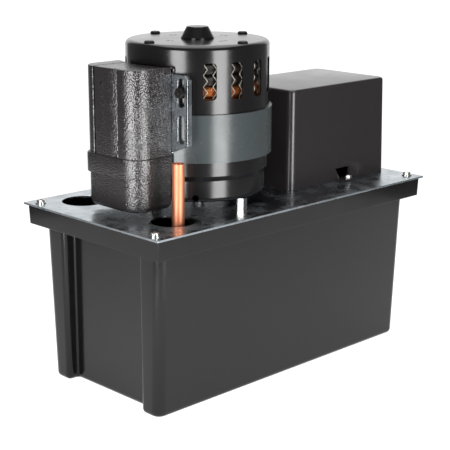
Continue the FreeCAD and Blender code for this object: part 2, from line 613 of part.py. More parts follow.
# Bolts, spacers and nuts that hold the motor together and to the lid

def make_motor_fixings():
    bolts, spacers, nuts = [], [], []
    nut_low = "(Dim.tank_height - Dim.column_flange_thick - Dim.nut_height)"
    for index, (x, y) in enumerate(bolt_places()):
        x = "Dim.motor_x + " + x
        shank = cylinder("bolt_shank%d" % index, "Dim.bolt_radius", "%s - %s + 1.5" % (SHELL_TOP, nut_low), x, y,
                         "%s - 1.5" % nut_low)
        head = cone("bolt_head%d" % index, "Dim.bolt_head_radius", "Dim.bolt_head_radius - 1",
                    "Dim.bolt_head_height", x, y, SHELL_TOP)
        bolts.append(fuse("motor_bolt%d" % index, [shank, head]))
        for label, flats, height, low, row in (
                ("spacer", "Dim.spacer_flats", "Dim.motor_gap", LID_TOP, spacers),
                ("nut", "Dim.nut_flats", "Dim.nut_height", nut_low, nuts)):
            outer = hexagon("%s_hex%d" % (label, index), flats, height, x, y, low)
            bore = cylinder("%s_bore%d" % (label, index), "Dim.bolt_radius + Dim.running_fit", height, x, y, low)
            row.append(cut("%s%d" % (label, index), outer, bore))
    keep(group("motor_bolts", bolts), group("motor_spacers", spacers), group("motor_nuts", nuts))


make_motor_fixings()


# Shaft, rotor, bearings and the cap over the top bearing

def make_rotor():
    low = "(%s - Dim.impeller_height + 1)" % VOLUTE_TOP
    top = "(%s - Dim.shell_wall - 2)" % SHELL_TOP
    shaft = new_body("motor_shaft", x="Dim.motor_x")
    profile = new_sketch(shaft, "shaft_profile", "XZ_Plane")
    polygon(profile, [("0", low), ("Dim.shaft_radius", low), ("Dim.shaft_radius", top + " - Dim.shaft_chamfer"),
                      ("Dim.shaft_radius - Dim.shaft_chamfer", top), ("0", top)])
    revolve(shaft, "shaft_turned", profile)
    tap = new_sketch(shaft, "tap_outline", lift=low)
    circle(tap, "0", "0", "Dim.pump_screw_radius")
    pocket(shaft, "screw_hole", tap, "Dim.impeller_screw_length + 1", backward=True)
    keep(shaft)

    rotor = new_body("rotor", x="Dim.motor_x", z=STACK_LOW)
    core = new_sketch(rotor, "core_outline")
    circle(core, "0", "0", "Dim.stator_bore - Dim.air_gap")
    circle(core, "0", "0", "Dim.shaft_radius")
    pad(rotor, "core", core, "Dim.stack_height")
    ring_inner, ring_outer = "Dim.stator_bore - 11", "Dim.stator_bore - 2"
    for label, lift, backward in (("upper", "Dim.stack_height", False), ("lower", "0", True)):
        ring = new_sketch(rotor, label + "_ring_outline", lift=lift)
        circle(ring, "0", "0", ring_outer)
        circle(ring, "0", "0", ring_inner)
        pad(rotor, label + "_ring", ring, "Dim.rotor_ring_height", backward)
    for label, lift, backward in (("upper", "Dim.stack_height", False), ("lower", "0", True)):
        fin = new_sketch(rotor, label + "_fin_outline", lift=lift)
        rectangle(fin, ring_inner + " + 3 * Dim.rotor_fin_margin", "-Dim.rotor_fin_thick / 2",
                  ring_outer + " - Dim.rotor_fin_margin", "Dim.rotor_fin_thick / 2")
        blade = pad(rotor, label + "_fin", fin, "Dim.rotor_ring_height + Dim.rotor_fin_height", backward)
        pattern = polar(rotor, label + "_fins", blade, SIZES["rotor_fins"])
        bind(pattern, Occurrences="Dim.rotor_fins")
    keep(rotor)

    upper_low = "(%s - Dim.shell_wall - Dim.bearing_length)" % SHELL_TOP
    lower_low = "(%s + Dim.shell_wall)" % SHELL_LOW
    for label, z in (("upper_bearing", upper_low), ("lower_bearing", lower_low)):
        bearing = new_body(label, x="Dim.motor_x", z=z)
        section = new_sketch(bearing, label + "_profile", "XZ_Plane")
        bore, edge = "Dim.shaft_radius + Dim.running_fit", "Dim.bearing_radius"
        inset, length = edge + " - Dim.bearing_chamfer", "Dim.bearing_length"
        polygon(section, [(bore, "0"), (inset, "0"), (edge, "Dim.bearing_chamfer"),
                          (edge, length + " - Dim.bearing_chamfer"), (inset, length), (bore, length)])
        revolve(bearing, label + "_turned", section)
        keep(bearing)

    washers = []
    for index, z in enumerate((upper_low + " - Dim.seat_gap - Dim.washer_thick",
                               lower_low + " + Dim.bearing_length + Dim.seat_gap")):
        disc = cylinder("washer_disc%d" % index, "Dim.washer_radius", "Dim.washer_thick", "Dim.motor_x", "0", z)
        bore = cylinder("washer_bore%d" % index, "Dim.shaft_radius", "Dim.washer_thick", "Dim.motor_x", "0", z)
        washers.append(cut("washer%d" % index, disc, bore))
    keep(group("thrust_washers", washers))

    cap = new_body("shaft_cap", x="Dim.motor_x", z=SHELL_TOP)
    outline = new_sketch(cap, "cap_profile", "XZ_Plane")
    neck = "Dim.cap_hole_radius - 0.1"
    polygon(outline, [("0", "-Dim.shell_wall"), (neck, "-Dim.shell_wall"), (neck, "0"), ("Dim.cap_radius", "0"),
                      ("Dim.cap_radius", "Dim.cap_rim"),
                      ("Dim.cap_top_radius", "Dim.cap_height - Dim.cap_crown"), ("0", "Dim.cap_height")])
    revolve(cap, "cap_turned", outline)
    rim, rim_low = number("Dim.cap_top_radius"), number("Dim.cap_height / 2")
    round_edges(cap, "cap_edge", "Dim.cap_edge_radius",
                lambda m, t: near(math.hypot(m.x, m.y), rim, 0.01) and m.z > rim_low)
    keep(cap)


make_rotor()


# Junction box on the motor's side: a moulded base with a collar, a back and a cover

def saddle(body, name, low, high):
    """Clear the motor out of a body that stands against it."""
    hollow = new_sketch(body, name + "_outline", lift=high)
    circle(hollow, "Dim.motor_x", "0", STRAP_INNER + " + Dim.bracket_thick + Dim.seat_gap")
    pocket(body, name, hollow, "%s - %s" % (high, low))


FOOT_LOW = "(%s + Dim.box_gap)" % LID_TOP
COLLAR_LOW = "(%s + Dim.foot_height)" % FOOT_LOW
COLLAR_TOP = "(%s + Dim.collar_height)" % COLLAR_LOW
COVER_TOP = "(%s + Dim.cover_height)" % COLLAR_TOP
EAR_FACE = "(Dim.motor_x - %s * cos(Dim.strap_half_angle) - Dim.bracket_thick)" % STRAP_INNER
BOX_FRONT = "(Dim.motor_x - Dim.box_reach)"
BOX_END = "(%s - Dim.seat_gap)" % EAR_FACE
BASE_END = "(Dim.motor_x - Dim.base_reach)"
BACK_WALL = "(Dim.motor_x - Dim.back_wall_reach)"
BRACKET_LOW = "(%s + Dim.bracket_rise)" % STACK_LOW
BRACKET_HIGH = "(%s + Dim.bracket_height)" % BRACKET_LOW


def make_box_base():
    base = new_body("junction_box_base")
    wall = "Dim.box_wall"
    foot_front, foot_near = "(%s + Dim.collar_lip)" % BOX_FRONT, "(Dim.box_near_y + Dim.foot_inset)"
    foot = new_sketch(base, "foot_outline", lift=FOOT_LOW)
    rectangle(foot, foot_front, foot_near, BASE_END, "Dim.foot_far_y")
    pad(base, "foot", foot, "Dim.foot_height")
    front, end = number(foot_front), number(BASE_END)
    foot_low, collar_low, collar_top = [number(word) for word in (FOOT_LOW, COLLAR_LOW, COLLAR_TOP)]
    round_edges(base, "foot_corners", "Dim.box_corner_radius - Dim.foot_inset",
                lambda m, t: abs(t.z) > 0.9 and near(m.x, front, 0.01))
    round_edges(base, "foot_rounding", "Dim.foot_edge", lambda m, t: near(m.z, foot_low, 0.01) and m.x < end - 1)
    collar = new_sketch(base, "collar_outline", lift=COLLAR_LOW)
    collar_front, collar_near = "(%s - Dim.collar_reach)" % BOX_FRONT, "(Dim.box_near_y - Dim.collar_lip / 2)"
    rectangle(collar, collar_front, collar_near, BASE_END, "Dim.collar_far_y")
    pad(base, "collar", collar, "Dim.collar_height")
    front = number(collar_front)
    round_edges(base, "collar_corners", "Dim.box_corner_radius",
                lambda m, t: abs(t.z) > 0.9 and near(m.x, front, 0.01) and m.z > collar_low)
    round_edges(base, "collar_rounding", "Dim.collar_edge",
                lambda m, t: near(m.z, collar_top, 0.01) and m.x < end - 1)
    cavity = new_sketch(base, "cavity_outline", lift=COLLAR_TOP)
    rectangle(cavity, "%s + %s" % (foot_front, wall), "%s + %s" % (foot_near, wall), BACK_WALL,
              "Dim.foot_far_y - " + wall)
    pocket(base, "cavity", cavity, "Dim.foot_height + Dim.collar_height - " + wall)
    saddle(base, "saddle", FOOT_LOW, COLLAR_TOP)
    keep(base)

    relay_x = "%s + %s + Dim.relay_gap" % (foot_front, wall)
    relay_y = "Dim.cover_far_y - %s - Dim.relay_clear - Dim.relay_width" % wall
    relay = block("relay_case", "Dim.relay_length", "Dim.relay_width", "Dim.relay_height", relay_x, relay_y,
                  "%s + %s" % (FOOT_LOW, wall))
    relay.Label = "start_relay"
    keep(relay)


def make_box_back():
    """The box's far side and its rear wall, in one moulding."""
    back = new_body("junction_box_back")
    outline = new_sketch(back, "back_outline", lift=COLLAR_TOP)
    step = "Dim.cover_far_y + Dim.seat_gap"
    side = "Dim.box_near_y + Dim.box_wall + Dim.seat_gap"
    back_front = "(%s + Dim.back_inset)" % BOX_FRONT
    polygon(outline, [(back_front, step), (BACK_WALL, step), (BACK_WALL, side), (BOX_END, side),
                      (BOX_END, "Dim.back_far_y"), (back_front, "Dim.back_far_y")])
    pad(back, "back_wall", outline, "Dim.cover_height")
    front, far, top = [number(word) for word in (back_front, "Dim.back_far_y", COVER_TOP)]
    round_edges(back, "back_corner", "Dim.back_corner_radius",
                lambda m, t: abs(t.z) > 0.9 and near(m.x, front) and near(m.y, far))
    shelf = new_sketch(back, "shelf_outline", lift=COVER_TOP)
    rectangle(shelf, BACK_WALL + " - 1", side + " - 1", BASE_END + " + 1", step)
    pocket(back, "cover_seat", shelf, "Dim.box_wall + Dim.seat_gap")
    round_edges(back, "back_top_rounding", "Dim.back_top_radius",
                lambda m, t: near(m.z, top, 0.01) and (near(m.y, far, 3) or m.x < front + 3))
    saddle(back, "saddle", COLLAR_TOP, COVER_TOP)
    keep(back)


def make_box_cover():
    """The box's near side, with a front panel that slopes in to a low step."""
    cover = new_body("junction_box_cover")
    wall = "Dim.box_wall"
    skin = new_sketch(cover, "cover_outline", lift=COLLAR_TOP)
    rectangle(skin, BOX_FRONT, "Dim.box_near_y", BASE_END, "Dim.cover_far_y")
    pad(cover, "cover_block", skin, "Dim.cover_height")
    front, end, top = [number(word) for word in (BOX_FRONT, BOX_END, COVER_TOP)]
    for name, radius, side in (("near_corner", "Dim.box_corner_radius", "Dim.box_near_y"),
                               ("far_corner", "Dim.far_corner_radius", "Dim.cover_far_y")):
        y = number(side)
        round_edges(cover, name, radius, lambda m, t: abs(t.z) > 0.9 and near(m.x, front) and near(m.y, y))
    round_edges(cover, "top_rounding", "Dim.cover_edge_radius", lambda m, t: near(m.z, top, 0.01) and m.x < end)
    inside = new_sketch(cover, "inside_outline", lift=COLLAR_TOP)
    thin = "%s + %s" % (BOX_FRONT, wall)
    open_end, wall_end, open_side = BASE_END + " + 1", BACK_WALL + " - Dim.seat_gap", "Dim.cover_far_y + 1"
    near_side, far_side = "Dim.box_near_y + " + wall, "Dim.cover_far_y - " + wall
    polygon(inside, [(thin, near_side), (open_end, near_side), (open_end, open_side), (wall_end, open_side),
                     (wall_end, far_side), (thin, far_side)])
    pocket(cover, "inside", inside, "Dim.cover_height - " + wall, backward=True)
    panel = new_sketch(cover, "panel_outline", lift=COVER_TOP)
    outside = BOX_FRONT + " - 1"
    polygon(panel, [(outside, open_side), (outside, "Dim.panel_edge_y"),
                    (BOX_FRONT + " + Dim.panel_step", "Dim.panel_edge_y"),
                    (BOX_FRONT, "Dim.panel_edge_y + Dim.panel_run"), (BOX_FRONT, open_side)])
    pocket(cover, "panel_step", panel, "Dim.cover_height")
    saddle(cover, "saddle", COLLAR_TOP, COVER_TOP)
    keep(cover)


make_box_base()
make_box_back()
make_box_cover()


# Bracket: a strap round the motor with a slotted ear on each side

def make_bracket():
    body = new_body("junction_box_bracket", x="Dim.motor_x")
    strap = new_sketch(body, "strap_profile", "XZ_Plane")
    rectangle(strap, "-(%s + Dim.bracket_thick)" % STRAP_INNER, BRACKET_LOW, "-" + STRAP_INNER, BRACKET_HIGH)
    bow = revolve(body, "strap", strap, angle=2 * SIZES["strap_half_angle"])
    # The strap runs one degree past each bend, where the ear takes over
    bind(bow, Angle="2 * (Dim.strap_half_angle + 1)")
    ear_face = "(%s - Dim.motor_x)" % EAR_FACE
    inner_y = STRAP_INNER + " * sin(Dim.strap_half_angle)"
    width = "Dim.bracket_half_width"
    low, high = BRACKET_LOW + " + Dim.bracket_cut", BRACKET_HIGH + " - Dim.bracket_corner"
    ear = new_sketch(body, "ear_outline", "YZ_Plane", lift=ear_face)
    polygon(ear, [("-%s" % inner_y, BRACKET_LOW), ("-%s" % inner_y, BRACKET_HIGH),
                  ("-%s + Dim.bracket_corner" % width, BRACKET_HIGH), ("-%s" % width, high), ("-%s" % width, low)])
    plate = pad(body, "ear", ear, "Dim.bracket_thick")
    mirrored(body, "ears", plate)
    flange = new_sketch(body, "flange_outline", "YZ_Plane", lift=ear_face)
    rectangle(flange, "-%s" % width, low, "-%s + Dim.bracket_thick" % width, high)
    fold = pad(body, "flange", flange, "Dim.bracket_flange + Dim.bracket_thick")
    mirrored(body, "flanges", fold)
    slots = new_sketch(body, "slot_outline", "YZ_Plane", lift=ear_face + " + Dim.bracket_thick")
    left = "-%s + Dim.bracket_slot_inset" % width
    for row in (0, 1):
        top = "%s - Dim.bracket_slot_drop - %d * Dim.bracket_slot_pitch" % (BRACKET_HIGH, row)
        round_rectangle(slots, left, top + " - Dim.bracket_slot_height", "%s + Dim.bracket_slot_width" % left, top,
                        "Dim.bracket_slot_radius")
    opening = pocket(body, "slot", slots, "Dim.bracket_thick")
    mirrored(body, "slots", opening)
    keep(body)

    screws = []
    z = BRACKET_HIGH + " - Dim.bracket_screw_drop"
    for index, side in enumerate((-1, 1)):
        y = "%d * (%s - Dim.bracket_slot_inset - Dim.bracket_slot_width / 2)" % (side, width)
        head = cylinder("bracket_head%d" % index, "Dim.bracket_head_radius", "Dim.bracket_head_height",
                        EAR_FACE + " - Dim.bracket_head_height", y, z)
        shank = cylinder("bracket_shank%d" % index, "Dim.bracket_screw_radius", "Dim.bracket_screw_length", EAR_FACE,
                         y, z)
        nut = cylinder("bracket_nut%d" % index, "Dim.bracket_nut_radius", "Dim.bracket_nut_height",
                       EAR_FACE + " + Dim.bracket_thick", y, z)
        for piece in (head, shank, nut):
            piece.Placement.Rotation = FreeCAD.Rotation(FreeCAD.Vector(0, 1, 0), 90)
        screws.append(fuse("bracket_screw%d" % index, [head, shank, nut]))
    keep(group("bracket_screws", screws))


make_bracket()


# Control box: one deep moulded cover with draft, screwed down through a tab in a notch on each side

def make_control_box():
    body = new_body("control_box", x="Dim.control_x + %s / 2" % CONTROL_LENGTH, z=LID_TOP)
    half_length, half_width = CONTROL_LENGTH + " / 2", "Dim.control_width / 2"
    draft, wall = "Dim.control_draft", "Dim.control_wall"

    def outline(name, lift, inset):
        sketch = new_sketch(body, name, lift=lift)
        x, y = "%s - (%s)" % (half_length, inset), "%s - (%s)" % (half_width, inset)
        rectangle(sketch, "-(%s)" % x, "-(%s)" % y, x, y)
        return sketch

    pad(body, "cover_block", outline("low_outline", "0", "0"), "Dim.control_height")
    lean = "atan(%s / Dim.control_height)" % draft
    height = number("Dim.control_height")
    at_foot = lambda c, n: near(c.z, 0, 0.01)
    draft_faces(body, "cover_draft", lean, lambda c, n: abs(n.z) < 0.1, at_foot)
    round_edges(body, "corners", "Dim.control_corner_radius", lambda m, t: abs(t.z) > 0.9)
    round_edges(body, "top_rounding", "Dim.control_top_radius", lambda m, t: near(m.z, height, 0.01))
    inset = "%s + %s" % (wall, draft)
    depth = "Dim.control_height - " + wall
    pocket(body, "inside", outline("inside_outline", "0", inset), depth, backward=True)
    inner_x, inner_y = number("%s - (%s)" % (half_length, inset)), number("%s - (%s)" % (half_width, inset))
    ceiling = number(depth)
    draft_faces(body, "inner_draft", lean,
                lambda c, n: near(abs(c.x), inner_x, 0.01) or near(abs(c.y), inner_y, 0.01),
                lambda c, n: near(c.z, ceiling, 0.01) and n.z < -0.9, True)
    screw_x = "%s - Dim.control_x - %s / 2" % (CONTROL_SCREW_X, CONTROL_LENGTH)
    notch = new_sketch(body, "notch_outline", "XZ_Plane", lift="%s - %s - 3" % (half_width, wall))
    width = "Dim.control_tab_width"
    low, high = "Dim.control_tab_thick", "Dim.control_notch_height"
    left, right = "%s - %s / 2" % (screw_x, width), "%s + %s / 2" % (screw_x, width)
    polygon(notch, [("%s - Dim.control_notch_slant" % left, high), (left + " + 1", low), (right + " - 1", low),
                    (right + " - 1", high)])
    opening = pocket(body, "notch", notch, "%s + 4" % wall, backward=True)
    mirrored(body, "notches", opening)
    tab = new_sketch(body, "tab_outline")
    rectangle(tab, left, "-%s - Dim.control_tab_reach" % half_width, right, "-%s + %s" % (half_width, wall))
    foot = pad(body, "tab", tab, "Dim.control_tab_thick")
    mirrored(body, "tabs", foot)
    holes = new_sketch(body, "hole_outline", lift="Dim.control_tab_thick")
    for side in (-1, 1):
        circle(holes, screw_x, "%d * (%s + Dim.control_tab_reach / 2)" % (side, half_width),
               "Dim.control_screw_radius + Dim.hole_clear")
    pocket(body, "tab_holes", holes, "Dim.control_tab_thick")
    keep(body)

    screws = []
    seat = "%s + Dim.control_tab_thick" % LID_TOP
    for index, side in enumerate((-1, 1)):
        y = "%d * (Dim.control_width / 2 + Dim.control_tab_reach / 2)" % side
        head = cone("control_head%d" % index, "Dim.control_head_radius", "Dim.control_head_radius - 1",
                    "Dim.control_head_height", CONTROL_SCREW_X, y, seat)
        shank = cylinder("control_shank%d" % index, "Dim.control_screw_radius",
                         "Dim.control_tab_thick + Dim.lid_thick + 4", CONTROL_SCREW_X, y, "Dim.tank_height - 4")
        screws.append(fuse("control_screw%d" % index, [head, shank]))
    keep(group("control_box_screws", screws))


make_control_box()


# Pump: a column under the lid, a spiral casing with an open impeller and a screen at the eye

def scroll(radius, growth):
    """A spiral outline of four quarter arcs, each a step wider than the last, closed by a short side."""
    edges = []
    centre = FreeCAD.Vector(0, 0, 0)
    size = radius
    start = centre + FreeCAD.Vector(size, 0, 0)
    first = start
    for quarter in range(4):
        angles = [math.radians(90 * quarter + part) for part in (45, 90)]
        middle, end = [centre + FreeCAD.Vector(size * math.cos(a), size * math.sin(a), 0) for a in angles]
        edges.append(Part.Arc(start, middle, end).toShape())
        outward = (end - centre).normalize()
        centre = centre - outward * growth
        size = size + growth
        start = end
    edges.append(Part.LineSegment(start, first).toShape())
    return Part.Face(Part.Wire(edges))


def nozzle_frame():
    """Where the nozzle leaves the casing, the way it points, and the foot of the tube's bend."""
    axis = FreeCAD.Vector(number("Dim.motor_x"), 0, 0)
    foot = FreeCAD.Vector(number(FRONT_INLET_X + " + Dim.tube_offset_x"),
                          number("Dim.front_inlet_y + Dim.tube_offset_y"), 0)
    away = foot - axis
    swing = math.degrees(math.asin(number("Dim.nozzle_offset") / away.Length))
    along = FreeCAD.Rotation(FreeCAD.Vector(0, 0, 1), swing).multVec(away).normalize()
    level = FreeCAD.Vector(0, 0, (number(VOLUTE_TOP) + number(VOLUTE_LOW)) / 2)
    run = away.Length * math.cos(math.radians(swing))
    mouth = foot - along * (run - number("Dim.nozzle_reach")) + level
    return foot + level, along, mouth


def pump_screw_places():
    """The four screws round the pump's axis that hold the casing to the column."""
    for step in range(4):
        turn = "(%d + Dim.pump_screw_turn)" % (90 * step)
        yield "Dim.pump_screw_circle * cos%s" % turn, "Dim.pump_screw_circle * sin%s" % turn


def make_pump():
    top, low = number(VOLUTE_TOP), number(VOLUTE_LOW)
    wall, radius, growth = [number("Dim." + word) for word in ("volute_wall", "volute_radius", "volute_growth")]
    axis = FreeCAD.Vector(number("Dim.motor_x"), 0, 0)
    _, along, mouth = nozzle_frame()

    column = new_body("pump_column", x="Dim.motor_x")
    flange_low = "Dim.tank_height - Dim.column_flange_thick"
    foot = new_sketch(column, "pump_flange_outline", lift=VOLUTE_TOP)
    circle(foot, "0", "0", "Dim.pump_flange_radius + 3")
    circle(foot, "0", "0", "Dim.shaft_radius + 0.4")
    for x, y in pump_screw_places():
        circle(foot, x, y, "Dim.pump_screw_radius + 0.15")
    pad(column, "pump_flange", foot, "Dim.pump_flange_thick")
    tube = new_sketch(column, "tube_outline", lift=PUMP_TOP)
    circle(tube, "0", "0", "Dim.column_radius")
    circle(tube, "0", "0", "Dim.column_bore")
    pad(column, "tube", tube, "Dim.tank_height - " + PUMP_TOP)
    collar = new_sketch(column, "motor_flange_outline", lift=flange_low)
    circle(collar, "0", "0", "Dim.column_flange_radius")
    circle(collar, "0", "0", "Dim.column_bore")
    for x, y in bolt_places():
        circle(collar, x, y, BOLT_HOLE)
    pad(column, "motor_flange", collar, "Dim.column_flange_thick")
    rib = new_sketch(column, "rib_profile", "XZ_Plane", lift="-Dim.rib_thick / 2")
    reach = "Dim.bolt_circle - Dim.nut_flats / sqrt(3) - 1"
    polygon(rib, [("Dim.column_radius - 1", flange_low), (reach, flange_low),
                  ("Dim.column_radius - 1", flange_low + " - Dim.rib_height")])
    gusset = pad(column, "rib", rib, "Dim.rib_thick")
    polar(column, "ribs", gusset, 4)
    window = new_sketch(column, "window_outline", "YZ_Plane")
    sill, half = "Dim.pump_top + Dim.window_rise", "Dim.window_width / 2"
    round_rectangle(window, "-" + half, sill, half, sill + " + Dim.window_height",
                    "(%s - 0.1)" % half)
    pocket(column, "drain_window", window, "Dim.column_radius + 2", backward=True)
    keep(column)

    outer = scroll(radius + wall, growth).extrude(FreeCAD.Vector(0, 0, top - low))
    inner = scroll(radius, growth).extrude(FreeCAD.Vector(0, 0, top - low - wall))
    inner.translate(FreeCAD.Vector(0, 0, wall))
    nozzle_radius, tube_radius = number("Dim.nozzle_radius"), number("Dim.tube_radius")
    length, depth = number("Dim.nozzle_length"), number("Dim.tube_socket")
    base = axis + FreeCAD.Vector(0, 0, low)
    start = mouth - along * length - base
    casing = outer.fuse(Part.makeCylinder(nozzle_radius, length, start, along))
    lug_circle, lug_radius, web_width = [number("Dim." + word) for word in (
        "pump_screw_circle", "pump_lug_radius", "pump_lug_web")]
    holes = []
    for step, (x, y) in enumerate(pump_screw_places()):
        spot = FreeCAD.Vector(number(x), number(y), 0)
        lug = Part.makeCylinder(lug_radius, top - low, spot)
        web = Part.makeBox(lug_circle - radius + wall, web_width, top - low,
                           FreeCAD.Vector(radius - wall + 1, -web_width / 2, 0))
        web.rotate(FreeCAD.Vector(), FreeCAD.Vector(0, 0, 1), 90 * step + number("Dim.pump_screw_turn"))
        casing = casing.fuse([lug, web])
        holes.append(Part.makeCylinder(number("Dim.pump_screw_radius") + 0.15, top - low, spot))
    eye = Part.makeCylinder(number("Dim.volute_bore"), wall)
    passage = Part.makeCylinder(nozzle_radius - wall, length, start, along)
    socket = Part.makeCylinder(tube_radius + 0.1, depth + 1, mouth - along * depth - base, along)
    casing = casing.cut([inner, eye, passage, socket] + holes).removeSplitter()
    keep(shaped("volute", casing, base))

    screws = []
    for step, (x, y) in enumerate(pump_screw_places()):
        x = "Dim.motor_x + " + x
        shank = cylinder("pump_shank%d" % step, "Dim.pump_screw_radius", "Dim.volute_height + Dim.pump_flange_thick",
                         x, y, VOLUTE_LOW)
        head = cylinder("pump_head%d" % step, "Dim.pump_head_radius", "Dim.pump_head_height", x, y,
                        VOLUTE_LOW + " - Dim.pump_head_height")
        screws.append(fuse("pump_screw%d" % step, [shank, head]))
    keep(group("pump_screws", screws))

    impeller_top = "(%s - 2)" % VOLUTE_TOP
    height, disc = number("Dim.impeller_height"), number("Dim.impeller_disc")
    reach, hub, thick = [number("Dim." + word) for word in ("impeller_radius", "hub_radius", "vane_thick")]
    wheel = Part.makeCylinder(reach, disc, FreeCAD.Vector(0, 0, height - disc))
    wheel = wheel.fuse(Part.makeCylinder(hub, height))
    # Each vane is the part of a thin ring, set off the axis, that lies between the hub and the rim
    bend = (reach + hub) / 2
    for step in range(SIZES["vane_count"]):
        centre = FreeCAD.Vector(bend, 0, 0)
        ring = Part.makeCylinder(bend * 0.75, height, centre).cut(
            Part.makeCylinder(bend * 0.75 - thick, height, centre))
        half = Part.makeBox(2 * reach, reach, height, FreeCAD.Vector(-reach, 0, 0))
        vane = ring.common(half).common(Part.makeCylinder(reach, height))
        vane.rotate(FreeCAD.Vector(), FreeCAD.Vector(0, 0, 1), 360.0 * step / SIZES["vane_count"])
        wheel = wheel.fuse(vane)
    stub = number("Dim.impeller_height - 3")
    wheel = wheel.cut(Part.makeCylinder(number("Dim.shaft_radius"), stub, FreeCAD.Vector(0, 0, 3)))
    wheel = wheel.cut(Part.makeCylinder(number("Dim.pump_screw_radius") + 0.1, height)).removeSplitter()
    keep(shaped("impeller", wheel, axis + FreeCAD.Vector(0, 0, number(impeller_top) - height)))
    hub_low = "(%s - Dim.impeller_height)" % impeller_top
    head = cylinder("impeller_head", "Dim.impeller_head_radius", "Dim.impeller_head_height", "Dim.motor_x", "0",
                    hub_low + " - Dim.impeller_head_height")
    shank = cylinder("impeller_shank", "Dim.pump_screw_radius", "Dim.impeller_screw_length", "Dim.motor_x", "0",
                     hub_low)
    keep(fuse("impeller_screw", [head, shank]))

    screen = new_body("inlet_screen", x="Dim.motor_x")
    screen_low = "%s - Dim.screen_height" % VOLUTE_LOW
    profile = new_sketch(screen, "screen_profile", "XZ_Plane")
    edge, skin = "Dim.screen_radius", "Dim.screen_wall"
    inner, floor = "%s - %s" % (edge, skin), "%s + %s" % (screen_low, skin)
    polygon(profile, [("0", screen_low), (edge, screen_low), (edge, VOLUTE_LOW), (inner, VOLUTE_LOW),
                      (inner, floor), ("0", floor)])
    revolve(screen, "screen_cup", profile)
    slot = new_sketch(screen, "slot_outline", "XZ_Plane")
    rectangle(slot, "-Dim.screen_slot_width / 2", floor, "Dim.screen_slot_width / 2", VOLUTE_LOW + " - 1.5")
    opening = pocket(screen, "slot", slot, "Dim.screen_radius + 2", backward=True)
    pattern = polar(screen, "slots", opening, SIZES["screen_slots"])
    bind(pattern, Occurrences="Dim.screen_slots")
    keep(screen)


make_pump()


# Discharge tube: bare copper from the casing's nozzle, round one bend and up through the front inlet hole

def make_discharge():
    foot, along, mouth = nozzle_frame()
    bend, radius, wall = [number("Dim." + word) for word in ("tube_bend", "tube_radius", "tube_wall")]
    lean = FreeCAD.Vector(0.71, -0.70, 0) * number("Dim.tube_lean")
    top = FreeCAD.Vector(foot.x, foot.y, number(LID_TOP + " + Dim.tube_rise")) + lean
    up = (top - foot).normalize()
    turn = along.getAngle(up)
    start = mouth - along * number("Dim.tube_seat")
    # The bend touches both straight runs, and its axis stands square to them
    touch = bend * math.tan(turn / 2)
    one, two = foot - along * touch, foot + up * touch
    hinge = along.cross(up).normalize()
    centre = one + hinge.cross(along) * bend

    def rod(size):
        """A bent rod of a given radius: a level run, the bend and the riser."""
        def disc(spot, facing):
            return Part.Face(Part.Wire(Part.Circle(spot, facing, size).toShape()))

        level = disc(start, along).extrude(one - start)
        curve = disc(one, along).revolve(centre, hinge, math.degrees(turn))
        riser = disc(two, up).extrude(top - two)
        return level.fuse([curve, riser])

    keep(shaped("discharge_tube", rod(radius).cut(rod(radius - wall))))

    flats, length = number("Dim.tube_nut_flats"), number("Dim.tube_nut_length")
    across = flats / math.sqrt(3)
    corners = [FreeCAD.Vector(across * math.cos(math.radians(60 * k)), across * math.sin(math.radians(60 * k)), 0)
               for k in range(6)]
    hexagonal = Part.Face(Part.makePolygon(corners + corners[:1])).extrude(FreeCAD.Vector(0, 0, length))
    nut = hexagonal.cut(Part.makeCylinder(radius + 0.1, length))
    turned = FreeCAD.Rotation(FreeCAD.Vector(0, 0, 1), along)
    keep(shaped("tube_nut", nut, mouth + along * number("Dim.seat_gap"), turned))


make_discharge()


# Float: a closed moulding on a rod that slides through a guide in the lid

def make_float():
    body = new_body("float", x=ROD_X, z="Dim.float_lift")
    plan = new_sketch(body, "float_outline")
    half_length, half_width = "Dim.float_length / 2", "Dim.float_width / 2"
    round_rectangle(plan, "-" + half_length, "-" + half_width, half_length, half_width, "Dim.float_edge_radius")
    pad(body, "float_block", plan, "Dim.float_height")
    height = number("Dim.float_height")
    round_edges(body, "float_rounding", "Dim.float_top_radius",
                lambda m, t: near(m.z, 0, 0.01) or near(m.z, height, 0.01))
    bore = new_sketch(body, "bore_outline", lift="Dim.float_height")
    circle(bore, "0", "0", "Dim.rod_radius")
    pocket(body, "bore", bore, "Dim.float_height")
    keep(body)

    fork = "(%s - Dim.float_travel / 2)" % PIVOT_Z
    rod = cylinder("rod_shape", "Dim.rod_radius", "%s + Dim.rod_end - Dim.float_lift + Dim.rod_foot" % fork, ROD_X,
                   "0", "Dim.float_lift - Dim.rod_foot")
    rod.Label = "float_rod"
    keep(rod)

    slack = "(Dim.lever_thick / 2 + 1.9)"
    length = "Dim.rod_collar_length"
    collars = []
    for index, z in enumerate(("Dim.float_lift - " + length, "Dim.float_lift + Dim.float_height",
                               "%s - %s - %s" % (fork, slack, length), "%s + %s" % (fork, slack))):
        outer = cylinder("collar_outer%d" % index, "Dim.rod_collar_radius", length, ROD_X, "0", z)
        bore = cylinder("collar_bore%d" % index, "Dim.rod_radius", length, ROD_X, "0", z)
        collars.append(cut("collar%d" % index, outer, bore))
    keep(group("rod_collars", collars))

    guide = new_body("rod_guide", x=ROD_X, z="Dim.tank_height")
    profile = new_sketch(guide, "guide_profile", "XZ_Plane")
    bore, neck, edge = "Dim.rod_radius + Dim.slide_fit", "Dim.guide_radius - 1.6", "Dim.guide_radius + 1"
    low, high = "-Dim.guide_depth", "Dim.lid_thick + Dim.guide_cap"
    polygon(profile, [(bore, low), (neck, low), (neck, "Dim.lid_thick"), (edge, "Dim.lid_thick"),
                      (edge, "Dim.lid_thick + Dim.guide_cap / 2"), (neck, high), (bore, high)])
    revolve(guide, "guide_turned", profile)
    keep(guide)


make_float()


